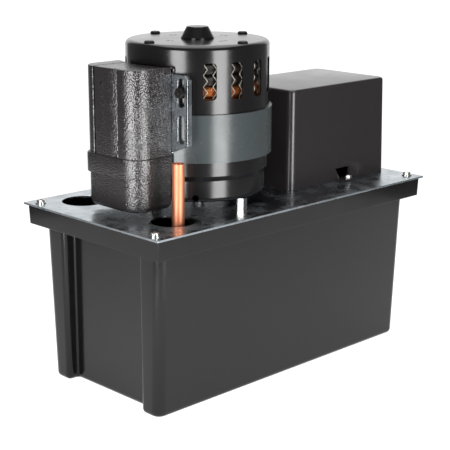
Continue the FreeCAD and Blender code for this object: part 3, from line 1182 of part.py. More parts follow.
# Switch gear under the cover: a bent bracket, a snap switch, and the lever that the rod lifts

def make_switch():
    bracket = new_body("switch_bracket", x="Dim.pivot_x", z=LID_TOP)
    inner = "(Dim.switch_width / 2 + Dim.seat_gap)"
    outer = "%s + Dim.ear_thick" % inner
    base = new_sketch(bracket, "base_outline")
    rectangle(base, "-Dim.ear_back", "-(%s)" % outer, "Dim.ear_front", outer)
    pad(bracket, "base", base, "Dim.ear_thick")
    ear = new_sketch(bracket, "ear_outline", "XZ_Plane", lift=inner)
    pivot = "Dim.pivot_rise"
    shoulder, peak = pivot + " - Dim.ear_shoulder", pivot + " + Dim.ear_top_rise"
    polygon(ear, [("-Dim.ear_back", "0"), ("Dim.ear_front", "0"), ("Dim.ear_front", shoulder),
                  ("Dim.ear_top_half", peak), ("-Dim.ear_top_half", peak), ("-Dim.ear_back", shoulder)])
    plate = pad(bracket, "ear", ear, "Dim.ear_thick")
    mirrored(bracket, "ears", plate)
    holes = new_sketch(bracket, "hole_outline", "XZ_Plane", lift=outer)
    circle(holes, "0", pivot, "Dim.pin_radius + Dim.running_fit")
    for x in ("-Dim.switch_hole_reach", "Dim.switch_hole_reach"):
        circle(holes, x, "Dim.switch_rise + Dim.switch_height / 2", "Dim.switch_hole_radius")
    opening = pocket(bracket, "holes", holes, "Dim.ear_thick")
    mirrored(bracket, "hole_pairs", opening)
    keep(bracket)

    case = new_body("float_switch", x="Dim.pivot_x", z=SWITCH_LOW)
    side = new_sketch(case, "case_outline", "XZ_Plane", lift="-Dim.switch_width / 2")
    rectangle(side, "-Dim.switch_length / 2", "0", "Dim.switch_length / 2", "Dim.switch_height")
    for x in ("-Dim.switch_hole_reach", "Dim.switch_hole_reach"):
        circle(side, x, "Dim.switch_height / 2", "Dim.switch_hole_radius")
    pad(case, "case", side, "Dim.switch_width")
    well = new_sketch(case, "button_hole", lift="Dim.switch_height")
    circle(well, "-Dim.button_reach", "0", "Dim.button_radius + 0.2")
    pocket(case, "button_well", well, "Dim.button_well")
    for index in range(3):
        blade = new_sketch(case, "blade_outline%d" % index)
        middle = "%d * Dim.blade_pitch" % (index - 1)
        rectangle(blade, middle + " - Dim.blade_thick / 2", "-Dim.blade_width / 2",
                  middle + " + Dim.blade_thick / 2", "Dim.blade_width / 2")
        pad(case, "terminal%d" % index, blade, "Dim.blade_length", backward=True)
    keep(case)

    rods = []
    for index, side in enumerate((-1, 1)):
        x = "Dim.pivot_x + %d * Dim.switch_hole_reach" % side
        z = SWITCH_LOW + " + Dim.switch_height / 2"
        piece = cylinder("switch_screw_shape%d" % index, "Dim.switch_screw_radius", "2 * (%s) + 3" % outer, x,
                         "(%s) + 1.5" % outer, z)
        head = cylinder("switch_screw_head%d" % index, "Dim.switch_head_radius", "Dim.switch_head_height", x,
                        "-(%s)" % outer, z)
        for item in (piece, head):
            item.Placement.Rotation = FreeCAD.Rotation(FreeCAD.Vector(1, 0, 0), 90)
        rods.append(fuse("switch_screw%d" % index, [piece, head]))
    keep(group("switch_screws", rods))

    # The lever lies along X when the float is half way, and is turned down to its resting angle
    lever = new_body("switch_lever", x="Dim.pivot_x", z=PIVOT_Z)
    arm = ROD_X + " - Dim.pivot_x"
    lever.Placement.Rotation = FreeCAD.Rotation(FreeCAD.Vector(0, 1, 0), 10)
    lever.setExpression("Placement.Rotation.Angle", "asin(Dim.float_travel / 2 / (%s))" % arm)
    strip = new_sketch(lever, "strip_outline", lift="-Dim.lever_thick / 2")
    tip = arm + " + Dim.lever_nose"
    rectangle(strip, "-Dim.lever_tail", "-Dim.lever_width / 2", tip, "Dim.lever_width / 2")
    pad(lever, "strip", strip, "Dim.lever_thick")
    barrel = new_sketch(lever, "barrel_outline", "XZ_Plane", lift="-Dim.lever_width / 2")
    circle(barrel, "0", "0", "Dim.barrel_radius")
    pad(lever, "barrel", barrel, "Dim.lever_width")
    bore = new_sketch(lever, "bore_outline", "XZ_Plane", lift="Dim.lever_width / 2")
    circle(bore, "0", "0", "Dim.pin_radius + Dim.running_fit")
    pocket(lever, "bore", bore, "Dim.lever_width")
    fork = new_sketch(lever, "fork_outline", lift="Dim.lever_thick / 2")
    rectangle(fork, arm + " - Dim.fork_depth", "-Dim.rod_radius - Dim.hole_clear", tip + " + 1",
              "Dim.rod_radius + Dim.hole_clear")
    pocket(lever, "fork", fork, "Dim.lever_thick")
    keep(lever)

    pin_shape = cylinder("pin_shape", "Dim.pin_radius", "2 * (%s) + 2" % outer, "Dim.pivot_x", "(%s) + 1" % outer,
                         PIVOT_Z)
    pin_shape.Placement.Rotation = FreeCAD.Rotation(FreeCAD.Vector(1, 0, 0), 90)
    pin_shape.Label = "lever_pin"
    keep(pin_shape)

    # The button stands under the lever's tail, which comes down on it as the float lifts the other end
    rest_angle = "asin(Dim.float_travel / 2 / (%s))" % arm
    tail = "%s + Dim.button_reach * sin(%s) - Dim.lever_thick / 2 - Dim.seat_gap" % (PIVOT_Z, rest_angle)
    foot = "(%s + Dim.switch_height - 2)" % SWITCH_LOW
    button = cylinder("button_shape", "Dim.button_radius", "%s - %s" % (tail, foot),
                      "Dim.pivot_x - Dim.button_reach", "0", foot)
    button.Label = "switch_button"
    keep(button)


make_switch()


# Check every object and write one file for each piece

doc.recompute()
faults = [item.Name for item in doc.Objects if {"Invalid", "Error"} & set(item.State)]
for item in nodes:
    if item.Shape.isNull() or not item.Shape.isValid() or not item.Shape.Solids:
        faults.append(item.Label + " shape")
if faults:
    raise RuntimeError("these failed: " + ", ".join(faults))
os.makedirs("parts", exist_ok=True)
for item in nodes:
    item.Shape.exportStep("parts/%s.step" % item.Label)
    box = item.Shape.BoundBox
    print("%-22s solids %d volume %.0f x %.1f..%.1f y %.1f..%.1f z %.1f..%.1f" % (
        item.Label, len(item.Shape.Solids), item.Shape.Volume, box.XMin, box.XMax, box.YMin, box.YMax,
        box.ZMin, box.ZMax))
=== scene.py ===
import math

import bmesh
import bpy
from mathutils import Euler, Matrix, Vector


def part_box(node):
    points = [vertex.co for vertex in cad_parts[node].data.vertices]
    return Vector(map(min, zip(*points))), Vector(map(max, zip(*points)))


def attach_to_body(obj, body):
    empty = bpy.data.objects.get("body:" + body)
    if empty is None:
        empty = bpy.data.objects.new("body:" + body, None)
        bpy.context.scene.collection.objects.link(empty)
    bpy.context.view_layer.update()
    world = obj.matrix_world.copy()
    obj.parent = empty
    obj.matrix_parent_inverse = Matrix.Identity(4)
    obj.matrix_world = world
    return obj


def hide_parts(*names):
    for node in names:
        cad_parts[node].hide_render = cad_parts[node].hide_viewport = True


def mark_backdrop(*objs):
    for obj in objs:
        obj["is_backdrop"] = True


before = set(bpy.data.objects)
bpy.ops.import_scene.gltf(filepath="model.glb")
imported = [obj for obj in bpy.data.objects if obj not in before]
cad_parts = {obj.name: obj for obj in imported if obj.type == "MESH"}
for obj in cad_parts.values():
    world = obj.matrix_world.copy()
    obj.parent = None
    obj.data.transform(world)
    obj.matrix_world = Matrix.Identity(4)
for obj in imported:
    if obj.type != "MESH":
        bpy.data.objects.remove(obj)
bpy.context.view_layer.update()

# A condensate pump: a moulded tank under a galvanised lid, an upright motor with a junction box on its side,
# a switch cover and a copper outlet tube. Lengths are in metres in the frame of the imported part, and the
# sizes of surface patterns are in millimetres.

MM = 0.001


# Tank: one moulding in black polystyrene, glossy from a polished tool and a little rounded at every edge.
# The lid's screws go into bosses in its corners. The resin's low sheen mirrors the floor as an even charcoal.

CLOUD_LOW, CLOUD_HIGH = 0.35, 0.65
SHARP_EDGE, FLAT_EDGE = math.radians(35), math.radians(0.5)


def linear(colour):
    """An sRGB hex colour as the linear colour that a shader takes."""
    parts = [int(colour[place:place + 2], 16) / 255 for place in (1, 3, 5)]
    return [part / 12.92 if part <= 0.04045 else ((part + 0.055) / 1.055) ** 2.4 for part in parts] + [1.0]


def add(material, kind, sockets=(), **settings):
    """Add a node to a material with its settings, its values and the links that come into it."""
    made = material.node_tree.nodes.new(kind)
    for name, value in settings.items():
        setattr(made, name, value)
    for name, value in dict(sockets).items():
        if isinstance(value, bpy.types.NodeSocket):
            material.node_tree.links.new(value, made.inputs[name])
        else:
            made.inputs[name].default_value = value
    return made


def surface(name, light, dark, patch, gloss, grain, relief, colour=None, height=None, **shader):
    """A finish of two colours in soft patches with uneven gloss and a fine grain, its lengths in mm."""
    material = bpy.data.materials.new(name)
    material.use_nodes = True
    material.node_tree.nodes.clear()
    place = add(material, "ShaderNodeTexCoord").outputs["Object"]
    cloud = add(material, "ShaderNodeTexNoise", {"Vector": place, "Scale": 1 / (patch * MM), "Detail": 4.0})
    tone = add(material, "ShaderNodeMix", {0: cloud.outputs["Fac"], 6: linear(light), 7: linear(dark)},
               data_type="RGBA").outputs[2]
    if colour:
        tone = colour(material, place, tone)
    rough = add(material, "ShaderNodeMapRange", {"Value": cloud.outputs["Fac"], "From Min": CLOUD_LOW,
                                                 "From Max": CLOUD_HIGH, "To Min": gloss[0], "To Max": gloss[1]})
    fine = add(material, "ShaderNodeTexNoise", {"Vector": place, "Scale": 1 / (grain * MM), "Detail": 2.0})
    bump = add(material, "ShaderNodeBump", {"Height": fine.outputs["Fac"], "Distance": relief * MM})
    if height:
        bump = height(material, place, bump)
    sockets = {"Base Color": tone, "Roughness": rough.outputs[0], "Normal": bump.outputs[0]}
    sockets.update({word.replace("_", " "): value for word, value in shader.items()})
    shade = add(material, "ShaderNodeBsdfPrincipled", sockets)
    add(material, "ShaderNodeOutputMaterial", {"Surface": shade.outputs[0]})
    return material


def dress(material, *nodes):
    """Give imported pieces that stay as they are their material."""
    for node in nodes:
        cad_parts[node].material_slots[0].material = material


def attach(piece, body, slot, *nodes):
    """Let a piece move with a body and stand for the nodes that it replaces. The slot is not used."""
    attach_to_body(piece, body)
    if nodes:
        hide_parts(*nodes)
    return piece


def new_piece(name, mesh, material):
    """An object made of a bmesh, with smooth faces that break at edges over 35 degrees."""
    data = bpy.data.meshes.new(name)
    bmesh.ops.recalc_face_normals(mesh, faces=mesh.faces)
    for face in mesh.faces:
        face.smooth = True
    for edge in mesh.edges:
        edge.smooth = len(edge.link_faces) == 2 and edge.calc_face_angle() < SHARP_EDGE
    mesh.to_mesh(data)
    mesh.free()
    data.materials.append(material)
    piece = bpy.data.objects.new(name, data)
    bpy.context.scene.collection.objects.link(piece)
    return piece


def rounded(piece, width):
    """Round a piece's sharp edges by a width in mm."""
    bevel = piece.modifiers.new("edge", "BEVEL")
    bevel.width = width * MM
    bevel.segments = 2
    bevel.limit_method = "ANGLE"
    bevel.angle_limit = SHARP_EDGE
    bevel.harden_normals = True
    return piece


def copied(node, name, material):
    """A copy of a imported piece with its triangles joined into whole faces, which then stands for it."""
    mesh = bmesh.new()
    mesh.from_mesh(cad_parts[node].data)
    bmesh.ops.remove_doubles(mesh, verts=mesh.verts, dist=1e-6)
    bmesh.ops.dissolve_limit(mesh, angle_limit=FLAT_EDGE, verts=mesh.verts, edges=mesh.edges)
    copy = new_piece(name, mesh, material)
    if "custom_normal" in copy.data.attributes:
        copy.data.attributes.remove(copy.data.attributes["custom_normal"])
    return copy


polystyrene = surface("moulded_black_polystyrene", "#131112", "#0f0d0d", 40, (0.11, 0.17), 2.2, 0.012,
                      Specular_IOR_Level=0.28)
tank = rounded(copied("tank", "tank_moulding", polystyrene), 0.5)
attach(tank, "root", "tank_plastic", "tank")


# Pump under the lid: column, spiral casing, impeller and screen, moulded in a glass filled plastic that
# comes out dull grey, with turned stainless screws. It is bolted up under the lid, out of sight.

filled = surface("glass_filled_plastic", "#2a2b2d", "#1f2022", 12, (0.5, 0.62), 0.8, 0.02)
steel = surface("turned_stainless_steel", "#c4c2bf", "#a8a6a3", 8, (0.22, 0.34), 0.5, 0.004, Metallic=1.0)
dress(filled, "pump_column", "volute", "impeller", "inlet_screen", "rod_collars", "rod_guide")
dress(steel, "pump_screws", "impeller_screw", "motor_shaft", "thrust_washers", "float_rod", "lever_pin")


# Lid: one sheared plate of hot dipped galvanised sheet, with punched holes. The zinc freezes in flat
# crystals of a few millimetres that mirror a little differently, and the sheared edge is bright.

def spangle(material, place, tone):
    """Zinc crystals about 6 mm across, each a shade of its own."""
    cells = add(material, "ShaderNodeTexVoronoi", {"Vector": place, "Scale": 1 / (6 * MM), "Randomness": 1.0})
    grey = add(material, "ShaderNodeMapRange", {"Value": cells.outputs["Color"], "To Min": 0.0, "To Max": 0.55})
    return add(material, "ShaderNodeMix", {0: grey.outputs[0], 6: tone, 7: linear("#8d969c")},
               data_type="RGBA").outputs[2]


galvanised = surface("galvanised_sheet", "#c3c9cd", "#a8b0b6", 14, (0.18, 0.36), 3.0, 0.03, colour=spangle,
                     Metallic=1.0)
lid = rounded(copied("lid_plate", "lid_sheet", galvanised), 0.25)
attach(lid, "root", "galvanised", "lid_plate")


# Lid screws: plated thread formers with a washer face under a small head that has one slot. The plating is
# bright zinc, and the slot's floor is dark.

SCREW_FLANGE, SCREW_HEAD, SCREW_RISE = 4.3 * MM, 3.4 * MM, 2.9 * MM
SLOT_WIDTH, SLOT_DEPTH, SLOT_STEP = 0.9 * MM, 1.2 * MM, 0.9
WASHER_TOP, WALL_FOOT, WALL_TOP = 0.3, 0.36, 0.8
WALL_LEAN, CROWN_EDGE = 0.96, 0.8


def settle(piece):
    """Make a piece's modifiers part of its mesh."""
    bpy.context.view_layer.update()
    graph = bpy.context.evaluated_depsgraph_get()
    data = bpy.data.meshes.new_from_object(piece.evaluated_get(graph), depsgraph=graph)
    piece.modifiers.clear()
    piece.data = data
    return piece


def carve(piece, tool):
    """Cut one piece with another, and take the cutter away."""
    change = piece.modifiers.new("cut", "BOOLEAN")
    change.object = tool
    change.operation = "DIFFERENCE"
    change.solver = "EXACT"
    settle(piece)
    bpy.data.objects.remove(tool)
    return piece


def slotted_heads(name, places, flange, head, rise, turn, material):
    """Screw heads on a level face: a washer face, a domed head and one slot, each stopped at its own turn."""
    mesh = bmesh.new()
    cutters = bmesh.new()
    for index, spot in enumerate(places):
        profile = [(0, 0), (flange, 0), (flange, WASHER_TOP * rise), (head, WALL_FOOT * rise),
                   (WALL_LEAN * head, WALL_TOP * rise), (CROWN_EDGE * head, rise), (0, rise)]
        points = [mesh.verts.new(spot + Vector((across, 0, high))) for across, high in profile]
        edges = [mesh.edges.new(pair) for pair in zip(points, points[1:])]
        bmesh.ops.spin(mesh, geom=points + edges, cent=spot, axis=(0, 0, 1), angle=2 * math.pi, steps=32,
                       use_merge=True)
        box = bmesh.ops.create_cube(cutters, size=1.0)["verts"]
        bmesh.ops.scale(cutters, vec=(3 * flange, SLOT_WIDTH, 2 * SLOT_DEPTH), verts=box)
        bmesh.ops.rotate(cutters, cent=(0, 0, 0), matrix=Matrix.Rotation(turn + SLOT_STEP * index, 3, "Z"),
                         verts=box)
        bmesh.ops.translate(cutters, vec=spot + Vector((0, 0, rise)), verts=box)
    bmesh.ops.remove_doubles(mesh, verts=mesh.verts, dist=1e-7)
    heads = new_piece(name, mesh, material)
    return carve(heads, new_piece(name + "_cutter", cutters, material))


zinc = surface("bright_zinc_plate", "#d6d6d2", "#b9b8b2", 3, (0.16, 0.3), 0.6, 0.006, Metallic=1.0)
low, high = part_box("lid_screws")
LID_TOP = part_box("lid_plate")[1].z
corners = [Vector((x, y, LID_TOP)) for x in (low.x + SCREW_FLANGE, high.x - SCREW_FLANGE)
           for y in (low.y + SCREW_FLANGE, high.y - SCREW_FLANGE)]
lid_screws = slotted_heads("lid_screw_heads", corners, SCREW_FLANGE, SCREW_HEAD, SCREW_RISE, turn=0.5, material=zinc)
attach(lid_screws, "root", "plated_screw", "lid_screws")


# Outlet tube: 3/8 inch bare copper, drawn bright and handled since, so that it shows one broad soft light down
# its length. The brass nut holds it in the pump's nozzle.

copper = surface("drawn_copper", "#dc9474", "#c87e5e", 20, (0.46, 0.56), 1.2, 0.004, Metallic=1.0)
brass = surface("turned_brass", "#cfae5e", "#b8954a", 8, (0.25, 0.35), 0.6, 0.004, Metallic=1.0)
dress(copper, "discharge_tube")
dress(brass, "tube_nut")


# Float: a pale closed foam moulding on a steel rod, which lifts the fork of a bent zinc plated lever.

foam = surface("moulded_float_foam", "#e6e2d6", "#d8d3c4", 6, (0.6, 0.75), 1.0, 0.05)
dress(foam, "float")
dress(zinc, "switch_lever", "switch_screws", "motor_nuts")
dress(galvanised, "switch_bracket")


# Switch: a snap switch in a moulded phenolic case on a bent bracket, with the relay's case of the same resin,
# which is a dull brownish black.

phenolic = surface("moulded_phenolic", "#2b2422", "#1d1817", 5, (0.35, 0.5), 0.8, 0.01)
dress(phenolic, "float_switch", "switch_button", "start_relay")


# Switch cover: a deep smooth moulding in black ABS with draft, polished outside, so that its long edge and
# its top catch the light. It reaches nearer the lid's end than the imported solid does. A pan head screw in a
# notch on each side holds it down.

abs_black = surface("moulded_black_abs", "#2d292a", "#262324", 50, (0.18, 0.26), 3.0, 0.006)
cover = rounded(copied("control_box", "switch_cover", abs_black), 0.5)
COVER_STRETCH, COVER_MIDDLE = 6 * MM, 120 * MM
for vert in cover.data.vertices:
    if vert.co.x > COVER_MIDDLE:
        vert.co.x += COVER_STRETCH
attach(cover, "root", "cover_plastic", "control_box")
PAN_RADIUS, PAN_WALL, PAN_RISE = 3.6 * MM, 3.096 * MM, 2.4 * MM
low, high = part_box("control_box_screws")
seat = high.z - PAN_RISE
middle = (low.x + high.x) / 2
pans = [Vector((middle, y, seat)) for y in (low.y + PAN_RADIUS, high.y - PAN_RADIUS)]
cover_screws = slotted_heads("cover_screw_heads", pans, PAN_RADIUS, PAN_WALL, PAN_RISE, turn=0.2, material=zinc)
attach(cover_screws, "root", "dark_screw", "control_box_screws")


# Motor shells: drawn steel cups in black gloss stoving enamel. The paint has a soft orange peel, and the lights
# show in it as two upright bands. The press left four pairs of small marks in the flat top.

enamel = surface("black_stoving_enamel", "#0f0e0f", "#0b0a0b", 60, (0.17, 0.23), 5.0, 0.02, Coat_Weight=0.12,
                 Coat_Roughness=0.12)
top_shell = copied("motor_top_shell", "top_shell", enamel)
shell_low, shell_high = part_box("motor_top_shell")
MARK_LONG, MARK_WIDE, MARK_DEEP, MARK_REACH, MARK_PITCH = 3 * MM, 1.8 * MM, 0.9 * MM, 29 * MM, 4.8 * MM
marks = bmesh.new()
for corner in range(4):
    for side in (-1, 1):
        box = bmesh.ops.create_cube(marks, size=1.0)["verts"]
        bmesh.ops.scale(marks, vec=(MARK_LONG, MARK_WIDE, 2 * MARK_DEEP), verts=box)
        bmesh.ops.translate(marks, vec=(side * MARK_PITCH / 2, MARK_REACH, 0), verts=box)
        bmesh.ops.rotate(marks, cent=(0, 0, 0), matrix=Matrix.Rotation(corner * math.pi / 2, 3, "Z"), verts=box)
        bmesh.ops.translate(marks, vec=((shell_low.x + shell_high.x) / 2, 0, shell_high.z), verts=box)
carve(top_shell, new_piece("mark_cutter", marks, enamel))
attach(rounded(top_shell, 0.25), "root", "shell_enamel", "motor_top_shell")
dress(enamel, "motor_bottom_shell", "shaft_cap")


# Stator: stacked laminations in grey machine paint, thick enough to hide the joints, with a bright ledge where
# the shell stands on it.

stack_paint = surface("grey_machine_paint", "#3f4546", "#33393a", 18, (0.2, 0.3), 1.6, 0.02)
dress(stack_paint, "stator_stack")


# Inner motor: copper end turns that the varnish darkens nearly to black, a cast aluminium cage on the rotor and
# sintered bronze bearings.

WIRE, WIRE_RELIEF, WAVE_REPEAT = 0.9 * MM, 0.3 * MM, 0.314


def strands(material, place, bump):
    """Round wires laid side by side round the bundle. A wave texture repeats every 0.314 over its scale."""
    wires = add(material, "ShaderNodeTexWave", {"Vector": place, "Scale": WAVE_REPEAT / WIRE, "Distortion": 0.6},
                bands_direction="Z")
    return add(material, "ShaderNodeBump", {"Height": wires.outputs["Fac"], "Distance": WIRE_RELIEF,
                                            "Normal": bump.outputs[0]})


varnish = surface("varnished_winding", "#1c1310", "#0d0a09", 6, (0.2, 0.4), 0.9, 0.05, height=strands)
bare_wire = surface("enamelled_copper_wire", "#c4743e", "#8e4c26", 4, (0.2, 0.34), 0.9, 0.05, height=strands,
                    Metallic=0.8)
lacing_cord = surface("polyester_lacing_cord", "#b9b5aa", "#9f9a8f", 3, (0.6, 0.75), 0.5, 0.1)
cage = surface("cast_aluminium_cage", "#b9bab9", "#9d9e9c", 5, (0.4, 0.55), 0.7, 0.03, Metallic=1.0)
bronze = surface("sintered_bronze", "#a98a5c", "#8d7148", 3, (0.45, 0.6), 0.4, 0.02, Metallic=1.0)
dress(varnish, "lower_winding")

# The upper end turns are four bundles that nearly fill the shell, laced together with a flat cord that zigzags
# up their outside. The lower bundles show their bare wire.
low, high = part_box("upper_winding")
BUNDLES, BARE_BUNDLES, BUNDLE_PITCH, WINDING_REACH, WINDING_LIFT = 4, 2, 8.8 * MM, 53 * MM, 3 * MM
CORD, TIES, TIE_SIDES = 0.38 * MM, 44, (0.28, 0.72)
winding_height = BUNDLES * BUNDLE_PITCH
winding_foot = low.z + WINDING_LIFT
winding_middle = Vector(((low.x + high.x) / 2, (low.y + high.y) / 2, winding_foot + winding_height / 2))
bundle_reach = WINDING_REACH - BUNDLE_PITCH / 2 - CORD


def bundles(name, levels, material):
    """Rings of wire, one above the other."""
    mesh = bmesh.new()
    for level in levels:
        middle = Vector((winding_middle.x + bundle_reach, winding_middle.y,
                         winding_foot + (level + 0.5) * BUNDLE_PITCH))
        turned = Matrix.Translation(middle) @ Matrix.Rotation(math.pi / 2, 4, "X")
        ring = bmesh.ops.create_circle(mesh, segments=12, radius=BUNDLE_PITCH / 2, matrix=turned)["verts"]
        edges = [edge for edge in mesh.edges if edge.verts[0] in ring and edge.verts[1] in ring]
        bmesh.ops.spin(mesh, geom=ring + edges, cent=winding_middle, axis=(0, 0, 1), angle=2 * math.pi, steps=64,
                       use_merge=True)
    bmesh.ops.remove_doubles(mesh, verts=mesh.verts, dist=1e-7)
    return new_piece(name, mesh, material)


attach(bundles("upper_end_turns", range(BARE_BUNDLES, BUNDLES), varnish), "root", "winding", "upper_winding")
attach(bundles("upper_bare_turns", range(BARE_BUNDLES), bare_wire), "root", "winding")

mesh = bmesh.new()
for tie in range(TIES):
    angles = [2 * math.pi * (tie + side) / TIES for side in TIE_SIDES]
    reach = WINDING_REACH - CORD
    points = [winding_middle + Vector((reach * math.cos(angles[step % 2]), reach * math.sin(angles[step % 2]),
                                       (step / (2 * BUNDLES) - 0.5) * winding_height))
              for step in range(2 * BUNDLES + 1)]
    for start, end in zip(points, points[1:]):
        along = (end - start).to_track_quat("Z", "Y").to_matrix().to_4x4()
        bmesh.ops.create_cone(mesh, cap_ends=True, segments=6, radius1=CORD, radius2=CORD,
                              depth=(end - start).length, matrix=Matrix.Translation((start + end) / 2) @ along)
attach(new_piece("winding_lacing", mesh, lacing_cord), "root", "winding")
dress(cage, "rotor")
dress(bronze, "upper_bearing", "lower_bearing")


# Motor fixings: long bolts through both shells, whose black oxide is dull and nearly black, and zinc plated
# hexagon spacers on the lid.

black_oxide = surface("black_oxide_steel", "#2b2927", "#1d1b1a", 4, (0.35, 0.5), 0.6, 0.01, Metallic=0.6)
dress(zinc, "motor_spacers")
bolts = rounded(copied("motor_bolts", "motor_bolt_set", black_oxide), 0.7)
attach(bolts, "root", "plated_screw", "motor_bolts")


# Junction box bracket: a strap of galvanised sheet bent round the motor, with a slotted ear on each side whose
# outer edge is folded back. A screw with a black hexagon nut in each upper slot holds the box.

MOTOR_X = (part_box("stator_stack")[0].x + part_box("stator_stack")[1].x) / 2
STRAP_INSIDE, SHEET, STRAP_HALF = 59.8 * MM, 1.5 * MM, math.radians(29)
EAR_FACE, EAR_LOW, EAR_HIGH = -94.8 * MM, 193.5 * MM, 254 * MM
EAR_ROOT, EAR_EDGE, EAR_SLANT, EAR_CORNER, FOLD = 28 * MM, 46.9 * MM, 7.5 * MM, 3 * MM, 4.4 * MM
SLOT_Y, EAR_SLOT_WIDTH, EAR_SLOT_HEIGHT, EAR_SLOT_ROUND = 39.6 * MM, 7 * MM, 21.5 * MM, 2.8 * MM
SLOT_DROP, SLOT_PITCH, NUT_DROP = 2.6 * MM, 28 * MM, 13.2 * MM
NUT_FLATS, NUT_HEIGHT, TIP_RADIUS, TIP_REACH = 7.4 * MM, 3.2 * MM, 2 * MM, 1.5 * MM


def grow(mesh, step):
    """Give every face of a flat outline a thickness."""
    made = bmesh.ops.extrude_face_region(mesh, geom=mesh.faces[:])["geom"]
    bmesh.ops.translate(mesh, vec=step, verts=[part for part in made if isinstance(part, bmesh.types.BMVert)])


def brick(mesh, low, high):
    """A rectangular block between two corners."""
    corners = bmesh.ops.create_cube(mesh, size=1.0)["verts"]
    bmesh.ops.scale(mesh, vec=high - low, verts=corners)
    bmesh.ops.translate(mesh, vec=(low + high) / 2, verts=corners)
    return corners


def rod_along_x(mesh, radius, low, high, y, z, segments):
    """A round or six sided bar along X."""
    place = Matrix.Translation(((low + high) / 2, y, z)) @ Matrix.Rotation(math.pi / 2, 4, "Y")
    bmesh.ops.create_cone(mesh, cap_ends=True, segments=segments, radius1=radius, radius2=radius, depth=high - low,
                          matrix=place)


ears, slots, strap, nuts = bmesh.new(), bmesh.new(), bmesh.new(), bmesh.new()
for side in (-1, 1):
    outline = [(EAR_ROOT, EAR_LOW), (EAR_ROOT, EAR_HIGH), (EAR_EDGE - EAR_CORNER, EAR_HIGH),
               (EAR_EDGE, EAR_HIGH - EAR_CORNER), (EAR_EDGE, EAR_LOW + EAR_SLANT)]
    ears.faces.new([ears.verts.new((EAR_FACE, side * y, z)) for y, z in outline])
    for row in (0, 1):
        high = EAR_HIGH - SLOT_DROP - row * SLOT_PITCH
        corners = brick(slots, Vector((EAR_FACE - SHEET, side * SLOT_Y - EAR_SLOT_WIDTH / 2, high - EAR_SLOT_HEIGHT)),
                        Vector((EAR_FACE + 2 * SHEET, side * SLOT_Y + EAR_SLOT_WIDTH / 2, high)))
        ends = [edge for edge in slots.edges if edge.verts[0] in corners
                and abs(edge.verts[0].co.x - edge.verts[1].co.x) > SHEET]
        bmesh.ops.bevel(slots, geom=ends, offset=EAR_SLOT_ROUND, offset_type="OFFSET", segments=6, profile=0.5,
                        affect="EDGES", material=-1)
    brick(strap, Vector((EAR_FACE, side * EAR_EDGE - (SHEET if side > 0 else 0), EAR_LOW + EAR_SLANT)),
          Vector((EAR_FACE + FOLD, side * EAR_EDGE + (SHEET if side < 0 else 0), EAR_HIGH - EAR_CORNER)))
    z = EAR_HIGH - NUT_DROP
    rod_along_x(nuts, NUT_FLATS / math.sqrt(3), EAR_FACE - NUT_HEIGHT, EAR_FACE, side * SLOT_Y, z, 6)
    rod_along_x(nuts, TIP_RADIUS, EAR_FACE - NUT_HEIGHT - TIP_REACH, EAR_FACE + 2 * SHEET, side * SLOT_Y, z, 16)
    rod_along_x(nuts, NUT_FLATS / math.sqrt(3), EAR_FACE + SHEET, EAR_FACE + SHEET + NUT_HEIGHT, side * SLOT_Y, z, 24)
grow(ears, (SHEET, 0, 0))
start = Matrix.Rotation(math.pi - STRAP_HALF, 3, "Z")
profile = [(STRAP_INSIDE, EAR_LOW), (STRAP_INSIDE + SHEET, EAR_LOW), (STRAP_INSIDE + SHEET, EAR_HIGH),
           (STRAP_INSIDE, EAR_HIGH)]
axis = Vector((MOTOR_X, 0, 0))
face = strap.faces.new([strap.verts.new(axis + start @ Vector((reach, 0, z))) for reach, z in profile])
bmesh.ops.spin(strap, geom=[face] + list(face.edges) + list(face.verts), cent=axis, axis=(0, 0, 1),
               angle=2 * STRAP_HALF, steps=24)
ear_plates = carve(new_piece("bracket_ears", ears, galvanised), new_piece("ear_slot_cutter", slots, galvanised))
attach(rounded(ear_plates, 0.25), "root", "galvanised", "junction_box_bracket")
attach(rounded(new_piece("bracket_strap", strap, galvanised), 0.25), "root", "galvanised")
attach(rounded(new_piece("bracket_nuts", nuts, black_oxide), 0.4), "root", "dark_screw", "bracket_screws")


# Junction box: a base with a collar, a back and a cover, moulded in black phenolic with a coarse wrinkle that
# spreads each light into an upright glittering band. The cover's front panel curves in to a step at the corner.

BOX_FRONT, BOX_NEAR, BOX_END = -132, -29, -95.1
SEAM, SEAM_GAP, BACK_FAR, FOOT_FAR, COLLAR_FAR = 17.3, 1, 32.5, 32.3, 34
FOOT_LOW, COLLAR_LOW, COLLAR_TOP, COVER_TOP = 149.8, 176.6, 192, 259
FOOT_INSET, COLLAR_OUT = 0.9, 0.5
NEAR_ROUND, FAR_ROUND, BACK_FAR_ROUND, BACK_SEAM_ROUND, COVER_SEAM_ROUND = 16, 11, 13, 1.2, 1.5
FOOT_ROUND, COLLAR_TOP_ROUND, COLLAR_LOW_ROUND, BACK_TOP_ROUND, COVER_TOP_ROUND = 5, 1.2, 0.4, 2, 1.5
STEP, PANEL_DEPTH, PANEL_TURN = -10, 3.8, 6
PANEL_HOLE_RADIUS, PANEL_HOLE_DEPTH, PANEL_HOLE_Y, PANEL_HOLE_Z = 1.3, 4, 9.1, 247.3
SADDLE = STRAP_INSIDE + SHEET + 0.3 * MM
WRINKLE, WRINKLE_DEPTH = 1.2 * MM, 0.5 * MM


def wrinkle(material, place, bump):
    """A leathery wrinkle whose facets glitter, drawn a little coarser than the real one so that it shows."""
    folds = add(material, "ShaderNodeTexNoise", {"Vector": place, "Scale": 1 / WRINKLE, "Detail": 1.0})
    return add(material, "ShaderNodeBump", {"Height": folds.outputs["Fac"], "Distance": WRINKLE_DEPTH,
                                            "Normal": bump.outputs[0]})


wrinkled = surface("wrinkled_phenolic", "#1f1b1c", "#181516", 16, (0.2, 0.28), 0.7, 0.02, height=wrinkle,
                   Specular_IOR_Level=1.0)


